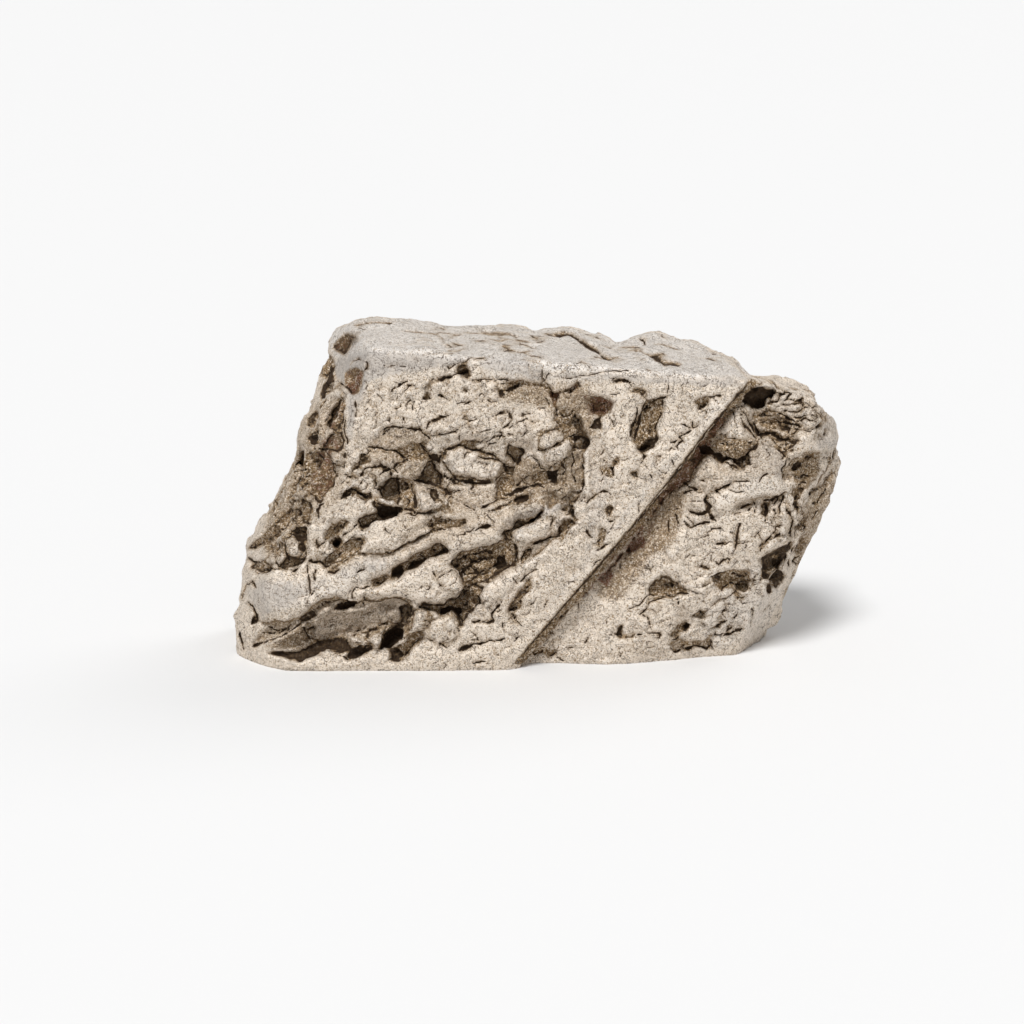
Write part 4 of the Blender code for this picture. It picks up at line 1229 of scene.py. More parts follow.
def remeshed(mesh: bpy.types.Mesh, voxel: float) -> bpy.types.Mesh:
    """Mesh a closed shape anew with even quads.

    Args:
        mesh: The mesh.
        voxel: Size of the quads in millimetres.

    Returns:
        The new mesh.
    """
    carrier = linked("carrier", mesh)
    even = carrier.modifiers.new("even skin", "REMESH")
    even.mode = "VOXEL"
    even.voxel_size = voxel * MM
    return used_up(carrier)


# ---- Sheets of the sides ----


@dataclass(frozen=True)
class Drawing:
    """The strokes of one side.

    Attributes:
        side: The side that they are drawn on.
        broad: Strokes that are cut before the second meshing.
        fine: Strokes that are cut after it.
        washes: Tints and shares of crumpled relief.
        relief: Height that one unit of a stroke makes, in sheet units.
    """

    side: Side
    broad: tuple
    fine: tuple
    washes: tuple
    relief: float = 1.5


SIDE_AXES = {
    # outward, right and down directions of each plane sheet
    Side.LEFT: ((-1.0, 0.0, 0.0), (0.0, -1.0, 0.0), (0.0, 0.0, -1.0)),
    Side.RIGHT: ((1.0, 0.0, 0.0), (0.0, 1.0, 0.0), (0.0, 0.0, -1.0)),
    Side.BACK: ((0.0, 1.0, 0.0), (-1.0, 0.0, 0.0), (0.0, 0.0, -1.0)),
}
SHEET_UNIT = 0.0585
SHEET_MIDDLE = 512.0


class Easel:
    """Lays the sheets on the skin and presses what is drawn on them into it."""

    WARPS = ((13.0, 1.9), (5.0, 1.1))

    def __init__(self, viewpoint: Viewpoint, drawings: tuple) -> None:
        """Keep the viewpoint and the drawings.

        Args:
            viewpoint: The camera's place and lens.
            drawings: One for each side that has strokes.
        """
        self.viewpoint = viewpoint
        self.drawings = drawings
        self.ripples = [Ripple(seed) for seed in (3, 5, 7, 11)]

    def seen_from_camera(self, skin: Skin) -> tuple[Array, Array, Array]:
        """Look at the skin from the camera.

        Args:
            skin: The skin.

        Returns:
            Each point's place across and down the camera's sheet, and its direction to the camera.
        """
        forward, right, up = self.viewpoint.axes()
        away = skin.points - self.viewpoint.place()
        depth = away @ forward
        scale = self.viewpoint.lens / self.viewpoint.sensor * self.viewpoint.sheet
        u = SHEET_MIDDLE + scale * (away @ right) / depth
        v = SHEET_MIDDLE - scale * (away @ up) / depth
        return u, v, -away / np.linalg.norm(away, axis=1)[:, None]

    def nudge(self, skin: Skin, nudges: tuple) -> None:
        """Push the outline softly where the solid's differs.

        Args:
            skin: The skin.
            nudges: The pushes, on the camera's sheet.
        """
        u, v, _ = self.seen_from_camera(skin)
        _, right, up = self.viewpoint.axes()
        for nudge in nudges:
            gap = np.hypot(u - nudge.place[0], v - nudge.place[1]) / nudge.reach
            share = (np.exp(-(gap**2)) * SHEET_UNIT)[:, None]
            skin.points += share * (nudge.push[0] * right - nudge.push[1] * up)
        skin.store()

    def laid(self, u: Array, v: Array) -> Sheet:
        """Make an empty sheet, its places shifted a little so that drawn edges come out uneven.

        Args:
            u: Distance across, for each point.
            v: Distance down, for each point.

        Returns:
            The sheet.
        """
        warped_u, warped_v = u.copy(), v.copy()
        for index, (wave, reach) in enumerate(self.WARPS):
            warped_u += reach * self.ripples[2 * index].at(u / wave, v / wave)
            warped_v += reach * self.ripples[2 * index + 1].at(u / wave, v / wave)
        return Sheet(warped_u, warped_v, u, v)

    def sheets(self, skin: Skin, facing: Array) -> Iterator[tuple[Drawing, Sheet, Array, Array]]:
        """Lay every drawing on the skin.

        Args:
            skin: The skin.
            facing: The directions that the broad shape faces.

        Yields:
            The drawing, its empty sheet, how much of it counts at each point and the way out of it.
        """
        u, v, towards = self.seen_from_camera(skin)
        square = dotted(facing, towards)
        seen = smooth_step(0.02, 0.16, square)
        slant = smooth_step(0.25, 0.6, square)[:, None]
        out_front = of_length_one(slant * towards + (1.0 - slant) * facing)
        for drawing in self.drawings:
            if drawing.side is Side.FRONT:
                yield drawing, self.laid(u, v), seen, out_front
                continue
            outward, right, down = (np.array(axis) for axis in SIDE_AXES[drawing.side])
            turned = smooth_step(0.30, 0.60, facing @ outward)
            flat_u = SHEET_MIDDLE + skin.points @ right / SHEET_UNIT
            flat_v = SHEET_MIDDLE + skin.points @ down / SHEET_UNIT
            yield drawing, self.laid(flat_u, flat_v), turned * (1.0 - seen), facing

    def press_broad(self, skin: Skin, facing: Array) -> None:
        """Cut the broad strokes into the skin.

        Args:
            skin: The skin.
            facing: The directions that the broad shape faces.
        """
        for drawing, sheet, weight, out in self.sheets(skin, facing):
            for stroke in drawing.broad:
                stroke.draw(sheet)
            skin.points += out * (weight * sheet.height * SHEET_UNIT * drawing.relief)[:, None]
        skin.store()

    def press_fine(self, skin: Skin, facing: Array) -> None:
        """Cut the fine strokes and store the colour layers of all strokes.

        Args:
            skin: The skin.
            facing: The directions that the broad shape faces.
        """
        layers = {layer: np.zeros(skin.count) for layer in Layer}
        for drawing, sheet, weight, out in self.sheets(skin, facing):
            for stroke in drawing.broad:
                stroke.draw(sheet)
            sheet.height[:] = 0.0
            for stroke in drawing.fine + drawing.washes:
                stroke.draw(sheet)
            skin.points += out * (weight * sheet.height * SHEET_UNIT * drawing.relief)[:, None]
            for layer, total in layers.items():
                total += weight * sheet.layers[layer.value]
        skin.store()
        sunk = np.maximum(layers[Layer.SOOT], layers[Layer.TAN])
        layers[Layer.TORN] = np.maximum(layers[Layer.TORN], 0.8 * sunk)
        for layer, total in layers.items():
            skin.mark(layer.value, np.clip(total, 0.0, 1.0))


# ---- Node trees, written as sums ----


class Wire:
    """A node's output. Each sum with it adds a Math node."""

    def __init__(self, nodes: "Nodes", socket: bpy.types.NodeSocket) -> None:
        """Keep the output and the tree that it is in."""
        self.nodes = nodes
        self.socket = socket

    def __add__(self, other: "Wire | float") -> "Wire":
        """Add."""
        return self.nodes.math("ADD", self, other)

    def __sub__(self, other: "Wire | float") -> "Wire":
        """Take another value away."""
        return self.nodes.math("SUBTRACT", self, other)

    def __rsub__(self, other: float) -> "Wire":
        """Take this away from a number."""
        return self.nodes.math("SUBTRACT", other, self)

    def __mul__(self, other: "Wire | float") -> "Wire":
        """Multiply."""
        return self.nodes.math("MULTIPLY", self, other)

    def __truediv__(self, other: "Wire | float") -> "Wire":
        """Divide."""
        return self.nodes.math("DIVIDE", self, other)

    def __rtruediv__(self, other: float) -> "Wire":
        """Divide a number by this."""
        return self.nodes.math("DIVIDE", other, self)

    def __pow__(self, other: float) -> "Wire":
        """Raise to a power."""
        return self.nodes.math("POWER", self, other)

    def __or__(self, other: "Wire") -> "Wire":
        """Give the larger of the two, as masks are joined."""
        return self.nodes.math("MAXIMUM", self, other)

    def __abs__(self) -> "Wire":
        """Drop the sign."""
        return self.nodes.math("ABSOLUTE", self)


Value = Wire | bpy.types.NodeSocket | float | tuple | str


class Nodes:
    """A short way to write a node tree."""

    def __init__(self, tree: bpy.types.NodeTree) -> None:
        """Keep the tree."""
        self.tree = tree

    def sockets(self, inputs: dict[str, str], outputs: dict[str, str]) -> dict[str, Wire]:
        """Give a node group its inputs and outputs.

        Args:
            inputs: Kind of each named input, as the end of its socket type.
            outputs: Kind of each named output.

        Returns:
            The inputs, to read from inside.
        """
        for way, sockets in (("INPUT", inputs), ("OUTPUT", outputs)):
            for name, kind in sockets.items():
                self.tree.interface.new_socket(name, in_out=way, socket_type="NodeSocket" + kind)
        return self.wires(self.add("NodeGroupInput"))

    def add(self, kind: str, **settings: object) -> bpy.types.Node:
        """Add a node.

        Args:
            kind: The node's type.
            settings: Its properties.

        Returns:
            The node.
        """
        made = self.tree.nodes.new(kind)
        for name, value in settings.items():
            setattr(made, name, value)
        return made

    def feed(self, node: bpy.types.Node, values: dict[str | int, Value]) -> bpy.types.Node:
        """Link a node's inputs or set their values.

        Args:
            node: The node.
            values: What goes in each input, by name or number.

        Returns:
            The node.
        """
        for key, value in values.items():
            plain = value.socket if isinstance(value, Wire) else value
            if isinstance(plain, bpy.types.NodeSocket):
                self.tree.links.new(plain, node.inputs[key])
            else:
                node.inputs[key].default_value = plain
        return node

    def wires(self, node: bpy.types.Node) -> dict[str, Wire]:
        """Give a node's outputs by name."""
        return {socket.name: Wire(self, socket) for socket in node.outputs}

    def math(self, operation: str, *values: Value) -> Wire:
        """Add a Math node and give its output."""
        made = self.feed(self.add("ShaderNodeMath", operation=operation), dict(enumerate(values)))
        return Wire(self, made.outputs[0])

    def vector(self, operation: str, *values: Value) -> Wire:
        """Add a Vector Math node and give its output."""
        made = self.feed(self.add("ShaderNodeVectorMath", operation=operation), dict(enumerate(values)))
        return Wire(self, made.outputs["Value" if operation == "DOT_PRODUCT" else "Vector"])

    def scaled(self, value: Value, scale: Value) -> Wire:
        """Scale a vector."""
        made = self.feed(self.add("ShaderNodeVectorMath", operation="SCALE"), {0: value, "Scale": scale})
        return Wire(self, made.outputs["Vector"])

    def joined(self, *values: Value) -> Wire:
        """Join three values in a vector."""
        made = self.feed(self.add("ShaderNodeCombineXYZ"), dict(enumerate(values)))
        return Wire(self, made.outputs[0])

    def ramp(self, value: Value, low: float, high: float, to_low: float = 0.0, to_high: float = 1.0) -> Wire:
        """Map a value smoothly from one range to another.

        Args:
            value: The value.
            low: Where the first range starts.
            high: Where it ends.
            to_low: What its start maps to.
            to_high: What its end maps to.

        Returns:
            The mapped value.
        """
        names = ("Value", "From Min", "From Max", "To Min", "To Max")
        made = self.add("ShaderNodeMapRange", interpolation_type="SMOOTHSTEP")
        self.feed(made, dict(zip(names, (value, low, high, to_low, to_high))))
        return Wire(self, made.outputs["Result"])

    def noise(self, place: Value, scale: Value, detail: float = 2.0, roughness: float = 0.5,
              output: str = "Fac") -> Wire:
        """Add a Noise Texture.

        Args:
            place: Where it is read.
            scale: Bumps for each unit.
            detail: Octaves past the first.
            roughness: Share that each octave keeps.
            output: "Fac" or "Color".

        Returns:
            The noise.
        """
        made = self.add("ShaderNodeTexNoise", noise_dimensions="3D")
        self.feed(made, {"Vector": place, "Scale": scale, "Detail": detail, "Roughness": roughness})
        return Wire(self, made.outputs[output])


# ---- Geometry Nodes: relief that follows a rule ----


@dataclass(frozen=True)
class Crystal:
    """The relief of the torn crystal, in millimetres.

    Attributes:
        plate_size: Width of a torn plate.
        plate_step: Height between neighbouring plates.
        crack_depth: Depth of the cracks between plates.
        flake_step: Height of the scales' edges.
        bed_spacing: Thickness of the crystal plates.
        bed_depth: Height of the steps where they end.
        grain_size: Width of the fine grain.
        grain_height: Height of the fine grain.
        seed: Fixes the pattern.
    """

    plate_size: float = 1.5
    plate_step: float = 0.34
    crack_depth: float = 0.10
    flake_step: float = 0.20
    bed_spacing: float = 1.35
    bed_depth: float = 0.30
    grain_size: float = 0.20
    grain_height: float = 0.035
    seed: float = 4.0


@dataclass(frozen=True)
class Places:
    """Where the patterns of the relief are read, in millimetres.

    Attributes:
        open: The place, shifted by the seed.
        warped: The same, shaken.
        stretched: Shaken and drawn out along the crystal beds.
        along: Distance along the beds.
        across: Distance through them.
        into: Distance into the fragment.
    """

    open: Wire
    warped: Wire
    stretched: Wire
    along: Wire
    across: Wire
    into: Wire


class ReliefTree:
    """The Geometry Nodes tree of plates, cracks, crystal beds and grain."""

    SIZES = {
        "Plate Size": "plate_size",
        "Plate Step": "plate_step",
        "Crack Depth": "crack_depth",
        "Flake Step": "flake_step",
        "Bed Spacing": "bed_spacing",
        "Bed Depth": "bed_depth",
        "Grain Size": "grain_size",
        "Grain Height": "grain_height",
        "Seed": "seed",
    }
    BED_ALONG = (0.927, 0.0, 0.375)
    BED_ACROSS = (-0.36, 0.28, 0.89)
    BED_INTO = (-0.10, 0.96, -0.26)
    SEED_SHIFT = (17.3, 9.1, 5.7)
    MIDDLE = (0.5, 0.5, 0.5)
    SWELL = 0.16

    def __init__(self) -> None:
        """Build the tree."""
        self.tree = bpy.data.node_groups.new("crystal relief", "GeometryNodeTree")
        self.nodes = Nodes(self.tree)
        inputs = {"Geometry": "Geometry", **dict.fromkeys(self.SIZES, "Float"), "Material": "Material"}
        self.entry = self.nodes.sockets(inputs, {"Geometry": "Geometry"})
        self.build()

    def named(self, name: str) -> Wire:
        """Read a named attribute of the skin."""
        made = self.nodes.add("GeometryNodeInputNamedAttribute", data_type="FLOAT")
        return Wire(self.nodes, self.nodes.feed(made, {"Name": name}).outputs["Attribute"])

    def billow(self, place: Wire, rate: Wire, crease: float) -> tuple[Wire, Wire]:
        """Make rounded bumps with sharp creases between them.

        Args:
            place: Where the pattern is read.
            rate: Bumps for each millimetre.
            crease: Share of a bump that counts as crease.

        Returns:
            The height, about -0.5 to 0.5, and the crease mask.
        """
        n = self.nodes
        swing = abs(n.noise(place, rate, 2.0, 0.55) - 0.5) * 4.0
        return n.math("MINIMUM", swing, 1.0) ** 0.6 - 0.5, n.ramp(swing, 0.0, crease, 1.0, 0.0)

    def flakes(self, place: Wire, rate: Wire, layers: float, bare: float) -> tuple[Wire, Wire]:
        """Make scales that step down along the contours of a noise and rise slowly in between.

        Args:
            place: Where the pattern is read.
            rate: Bumps of the noise for each millimetre.
            layers: Contours from the noise's lowest to its highest value.
            bare: Share of the surface without scales, as a noise value.

        Returns:
            The height, about 0 to 1, and the mask of the dark line below each step, which is painted shade
            under the step with dark oxide.
        """
        n = self.nodes
        part = n.math("FRACT", n.noise(place, rate, 2.0, 0.5) * layers)
        shown = n.ramp(n.noise(place, rate * 0.8, 1.0, 0.5), bare, bare + 0.12)
        height = (1.0 - part) ** 1.3 * n.ramp(part, 0.0, 0.08) * shown
        return height, n.ramp(part, 0.86, 0.97) * shown

    def places(self) -> Places:
        """Shake and turn the places that the patterns are read at.

        Returns:
            The places.
        """
        n = self.nodes
        start = n.scaled(n.add("GeometryNodeInputPosition").outputs[0], 1.0 / MM)
        start = n.vector("ADD", start, n.scaled(self.SEED_SHIFT, self.entry["Seed"]))
        warped = start
        for rate, reach in ((0.8, 1.5), (3.1, 0.35)):
            shake = n.vector("SUBTRACT", n.noise(start, rate, 2.0, output="Color"), self.MIDDLE)
            warped = n.vector("ADD", warped, n.scaled(shake, reach))
        along = n.vector("DOT_PRODUCT", warped, self.BED_ALONG)
        across = n.vector("DOT_PRODUCT", warped, self.BED_ACROSS)
        into = n.vector("DOT_PRODUCT", warped, self.BED_INTO)
        return Places(start, warped, n.joined(along * 0.5, into * 0.8, across), along, across, into)

    def plates(self, at: Places) -> tuple[Wire, Wire, Wire]:
        """Make rounded plates in three sizes and scales in two.

        Args:
            at: Where the patterns are read.

        Returns:
            The height in millimetres, the mask of the cracks and of the dark lines below the scales' steps,
            which are painted shade with dark oxide, and the mask of the smallest creases.
        """
        n, entry = self.nodes, self.entry
        rate = 1.0 / entry["Plate Size"]
        broad, broad_crease = self.billow(at.stretched, rate, 0.05)
        middle, middle_crease = self.billow(at.stretched, rate * 2.3, 0.07)
        small, small_crease = self.billow(at.open, rate * 5.0, 0.10)
        patchy = n.noise(at.open, 0.55, 2.0)
        deep = broad_crease * n.ramp(patchy, 0.46, 0.60)
        shallow = middle_crease * n.ramp(patchy, 0.60, 0.40)
        crack = deep | shallow * 0.7
        height = (broad * 0.7 + middle * 0.34 + small * 0.12) * entry["Plate Step"]
        scale_height, scale_seam = self.flakes(at.stretched, rate * 0.75, 5.0, 0.42)
        chip_height, chip_seam = self.flakes(at.warped, rate * 1.5, 4.0, 0.50)
        height = height - crack * entry["Crack Depth"]
        height = height + (scale_height + chip_height * 0.5) * entry["Flake Step"]
        return height, crack | (scale_seam | chip_seam * 0.7), small_crease

    def beds(self, at: Places) -> tuple[Wire, Wire]:
        """Make the steps where crystal beds end.

        Args:
            at: Where the patterns are read.

        Returns:
            The depth, 0 to 1, and the mask of the dark line below each step, which is painted shade under the
            step with dark oxide.
        """
        n = self.nodes
        bed = at.across / self.entry["Bed Spacing"]
        part = n.math("FRACT", bed)
        bed_place = n.joined(at.along * 0.22, n.math("FLOOR", bed) * 3.7, at.into * 0.22)
        shown = n.ramp(n.noise(bed_place, 1.0, 1.0), 0.42, 0.60)
        step = (1.0 - part) ** 1.6 * n.ramp(part, 0.0, 0.07) * shown
        return step, n.ramp(abs(part - 0.07), 0.0, 0.10, 1.0, 0.0) * shown

    def build(self) -> None:
        """Wire the tree."""
        n, entry = self.nodes, self.entry
        at = self.places()
        rough = 1.0 - self.named("calm")
        torn = self.named("torn") * rough
        bedded = self.named("bedded") * rough
        plates, crack, small_crease = self.plates(at)
        step, seam = self.beds(at)
        grain = n.noise(at.open, 1.0 / entry["Grain Size"], 2.0, 0.55)
        fine = (grain - 0.5) * entry["Grain Height"] + (n.noise(at.open, 1.3, 2.0) - 0.5) * self.SWELL
        height = plates * torn - step * bedded * entry["Bed Depth"] + fine * (rough * 0.7 + 0.3)
        # The stored crack mask darkens cracks, creases and the lines below steps: dark oxide, and painted
        # shade under the steps.
        dark = crack * n.ramp(torn, 0.0, 0.9) | seam * bedded * 0.9
        dark = dark | small_crease * (torn * 0.25)
        normal = n.add("GeometryNodeInputNormal").outputs[0]
        move = n.add("GeometryNodeSetPosition")
        n.feed(move, {"Geometry": entry["Geometry"], "Offset": n.scaled(normal, height * MM)})
        keep = n.add("GeometryNodeStoreNamedAttribute", data_type="FLOAT", domain="POINT")
        n.feed(keep, {"Geometry": move.outputs[0], "Name": "crack", "Value": dark})
        whole = n.feed(n.add("GeometryNodeRealizeInstances"), {"Geometry": keep.outputs[0]})
        dress = n.add("GeometryNodeSetMaterial")
        n.feed(dress, {"Geometry": whole.outputs[0], "Material": entry["Material"]})
        n.feed(n.add("NodeGroupOutput"), {0: dress.outputs[0]})

    def apply(self, mesh: bpy.types.Mesh, crystal: Crystal, material: bpy.types.Material) -> bpy.types.Mesh:
        """Raise the relief on a mesh.

        Args:
            mesh: The skin's mesh.
            crystal: Sizes of the relief.
            material: The finish.

        Returns:
            The new mesh.
        """
        carrier = linked("relief carrier", mesh)
        raised = carrier.modifiers.new("crystal relief", "NODES")
        raised.node_group = self.tree
        items = self.tree.interface.items_tree
        sockets = {item.name: item.identifier for item in items if item.in_out == "INPUT"}
        for name, size in self.SIZES.items():
            raised[sockets[name]] = float(getattr(crystal, size))
        raised[sockets["Material"]] = material
        return used_up(carrier)


# ---- Finishes ----


@dataclass(frozen=True)
class MetalFinish:
    """The look of the worn nickel-iron.

    Attributes:
        pale: Colour of worn high spots, also of the painted highlights on ridges and in bright specks.
        bare: Colour of smooth bare metal.
        grey_wear_and_shade: Colour of grey worn metal, also of painted shade on the shoulders below the top
            edge.
        plain: Colour of the open surface.
        warm: Colour of the yellow-brown film.
        burnt: Colour of the darkest specks in it.
        oxide: Colour in the crevices, of dark oxide and painted shade.
        rust: Colour of the red-brown oxide.
        metallic: Metallic share of the open surface.
        roughness: Roughness of the open surface.
    """

    pale: tuple = (0.97, 0.90, 0.82, 1.0)
    bare: tuple = (0.77, 0.735, 0.70, 1.0)
    grey_wear_and_shade: tuple = (0.45, 0.415, 0.385, 1.0)
    plain: tuple = (0.80, 0.70, 0.59, 1.0)
    warm: tuple = (0.30, 0.195, 0.092, 1.0)
    burnt: tuple = (0.075, 0.042, 0.020, 1.0)
    oxide: tuple = (0.030, 0.016, 0.008, 1.0)
    rust: tuple = (0.125, 0.034, 0.013, 1.0)
    metallic: float = 0.35
    roughness: float = 0.46


class MetalMaterial:
    """Builds the nickel-iron material from a finish."""

    def __init__(self, finish: MetalFinish) -> None:
        """Start the material and read the grain.

        Args:
            finish: Colours and gloss.
        """
        self.finish = finish
        self.material = bpy.data.materials.new("nickel iron")
        self.material.use_nodes = True
        self.nodes = Nodes(self.material.node_tree)
        place = self.nodes.add("ShaderNodeTexCoord").outputs["Object"]
        self.grain = self.use(self.grain_group(), {"Vector": place})
        self.edge = self.edge_group()

    def grain_group(self) -> bpy.types.NodeTree:
        """Make a group that puts out several sizes of grain and fine dark lines.

        Returns:
            The group.
        """
        n = Nodes(bpy.data.node_groups.new("metal grain", "ShaderNodeTree"))
        outputs = dict.fromkeys(("Speck", "Mottle", "Cloud", "Hairline", "Dust"), "Float")
        place = n.scaled(n.sockets({"Vector": "Vector"}, outputs)["Vector"], 1.0 / MM)
        cloud = n.noise(place, 0.6, 2.0, 0.5)
        coarse = n.ramp(abs(n.noise(place, 1.5, 3.0, 0.62) - 0.5), 0.0, 0.018, 1.0, 0.0)
        fine = n.ramp(abs(n.noise(place, 3.4, 2.0, 0.6) - 0.5), 0.0, 0.024, 1.0, 0.0)
        n.feed(n.add("NodeGroupOutput"), {
            "Speck": n.noise(place, 6.5, 3.0, 0.65),
            "Mottle": n.noise(place, 2.2, 3.0, 0.6),
            "Cloud": cloud,
            "Dust": n.noise(place, 13.0, 2.0, 0.6),
            "Hairline": coarse * n.ramp(cloud, 0.42, 0.54) | fine * n.ramp(cloud, 0.60, 0.48) * 0.7,
        })
        return n.tree

    def edge_group(self) -> bpy.types.NodeTree:
        """Make a group that turns a soft mark into a sharp uneven one.

        Returns:
            The group.
        """
        n = Nodes(bpy.data.node_groups.new("uneven edge", "ShaderNodeTree"))
        inputs = dict.fromkeys(("Mark", "Noise", "Low", "High", "Reach"), "Float")
        entry = n.sockets(inputs, {"Mask": "Float"})
        shaken = entry["Mark"] + (entry["Noise"] - 0.5) * entry["Reach"]
        n.feed(n.add("NodeGroupOutput"), {"Mask": n.ramp(shaken, entry["Low"], entry["High"])})
        return n.tree

    def use(self, tree: bpy.types.NodeTree, values: dict[str, Value]) -> dict[str, Wire]:
        """Add a group node with its inputs fed.

        Args:
            tree: The group.
            values: What goes in each input.

        Returns:
            The group's outputs.
        """
        return self.nodes.wires(self.nodes.feed(self.nodes.add("ShaderNodeGroup", node_tree=tree), values))

    def sharp(self, mark: Wire, low: float, high: float, reach: float, noise: str = "Speck") -> Wire:
        """Make a soft mark sharp and uneven.

        Args:
            mark: The soft mark.
            low: Where the mask starts.
            high: Where it is full.
            reach: How far the grain shifts it.
            noise: Which size of grain.

        Returns:
            The mask.
        """
        values = {"Mark": mark, "Noise": self.grain[noise], "Low": low, "High": high, "Reach": reach}
        return self.use(self.edge, values)["Mask"]

    def attribute(self, name: str) -> Wire:
        """Read a named attribute of the piece."""
        made = self.nodes.add("ShaderNodeAttribute", attribute_type="GEOMETRY", attribute_name=name)
        return Wire(self.nodes, made.outputs["Fac"])

    def mix(self, share: Wire, first: Value, second: Value) -> Wire:
        """Mix two colours by the share of the second."""
        made = self.nodes.add("ShaderNodeMix", data_type="RGBA", blend_type="MIX")
        return Wire(self.nodes, self.nodes.feed(made, {0: share, 6: first, 7: second}).outputs[2])

    def open_metal(self) -> Wire:
        """Colour the bare and worn metal, with fine specks, painted highlights on ridges and in bright
        specks, and grey that is partly painted shade.

        Returns:
            The colour.
        """
        finish, ramp, speck, dust = self.finish, self.nodes.ramp, self.grain["Speck"], self.grain["Dust"]
        bare = self.sharp(self.attribute("bright"), 0.1, 1.0, 0.5, "Mottle")
        pale = self.sharp(self.attribute("ridge_wear_and_highlight"), 0.15, 1.0, 0.9)
        grey_wear_and_shade = self.sharp(self.attribute("grey_wear_and_shade"), 0.05, 1.0, 0.4, "Mottle")
        colour = self.mix(bare * 0.8, finish.plain, finish.bare)
        # Painted highlight with wear: ridges mixed towards the pale colour.
        colour = self.mix(pale * 0.4, colour, finish.pale)
        colour = self.mix(ramp(speck, 0.46, 0.34) * 0.50, colour, finish.warm)
        colour = self.mix(ramp(dust, 0.44, 0.36) * 0.85, colour, finish.warm)
        # Painted highlight: sparse bright specks stand in for glints of light.
        painted_glint = ramp(speck, 0.54, 0.70) | ramp(dust, 0.58, 0.72)
        colour = self.mix(painted_glint * 0.6, colour, finish.pale)
        # Grey worn metal, and painted shade on the shoulders below the top edge.
        return self.mix(grey_wear_and_shade * 0.85, colour, finish.grey_wear_and_shade)

    def flecked(self, colour: tuple, light: tuple, dark: tuple) -> Wire:
        """Break a film's colour up by lighter and darker flecks.

        Args:
            colour: The film's colour.
            light: Where the light flecks start and are full, and their share.
            dark: The same for the dark flecks.

        Returns:
            The colour.
        """
        ramp = self.nodes.ramp
        flecks = self.grain["Speck"] * 0.70 + self.grain["Dust"] * 0.30
        made = self.mix(ramp(flecks, *light[:2]) * light[2], colour, self.finish.plain)
        return self.mix(ramp(flecks, *dark[:2]) * dark[2], made, self.finish.burnt)

    def build(self) -> bpy.types.Material:
        """Wire the shader.

        Returns:
            The material.
        """
        n, finish, grain = self.nodes, self.finish, self.grain
        # Concave places: they tint the film brown and, below, paint crevices dark as dark oxide and painted
        # shade.
        crevice_oxide_and_shade = self.attribute("crevice_oxide_and_shade")
        # Brown film in and round the hollows
        film = self.attribute("tan") | self.attribute("hollow") * 0.45
        film = (film | self.attribute("halo") * 0.75) + crevice_oxide_and_shade * 0.25
        warm_mask = self.sharp(film, 0.05, 0.75, 0.8) * 0.95
        tinted = self.mix(warm_mask, self.open_metal(),
                          self.flecked(finish.warm, (0.52, 0.60, 0.85), (0.48, 0.41, 0.85)))
        rust_mask = self.sharp(self.attribute("rust"), 0.22, 0.60, 1.1, "Mottle")
        rust_mask = rust_mask * n.ramp(grain["Speck"], 0.38, 0.52, 0.35, 1.0)
        tinted = self.mix(rust_mask * 0.9, tinted,
                          self.flecked(finish.rust, (0.54, 0.64, 0.4), (0.49, 0.42, 0.8)))
        # Dark oxide in the cracks; with it, painted shade in cracks, pits, crevices and under steps
        hairline = grain["Hairline"] * 0.85
        tinted = self.mix(hairline, tinted, finish.burnt)
        dark = (self.attribute("soot") | self.attribute("crack") * 0.85) + crevice_oxide_and_shade * 0.35
        oxide_and_shade_mask = self.sharp(dark, 0.45, 0.84, 0.7, "Dust")
        covered = oxide_and_shade_mask | (warm_mask | rust_mask) * 0.8 | hairline
        tone = n.ramp(grain["Speck"], 0.36, 0.64)
        relief = grain["Speck"] * 0.045 + oxide_and_shade_mask * -0.04 + grain["Dust"] * 0.035
        bump = n.add("ShaderNodeBump")
        n.feed(bump, {"Strength": 1.0, "Distance": MM, "Height": relief + grain["Hairline"] * -0.035})
        n.feed(n.tree.nodes["Principled BSDF"], {
            "Specular IOR Level": 0.15,
            "Base Color": self.mix(oxide_and_shade_mask * 0.95, tinted, finish.oxide),
            "Metallic": (1.0 - covered) * finish.metallic,
            "Roughness": covered * 0.3 + finish.roughness + tone * 0.10,
            "Normal": bump.outputs["Normal"],
        })
        return self.material


# ---- The fragment ----


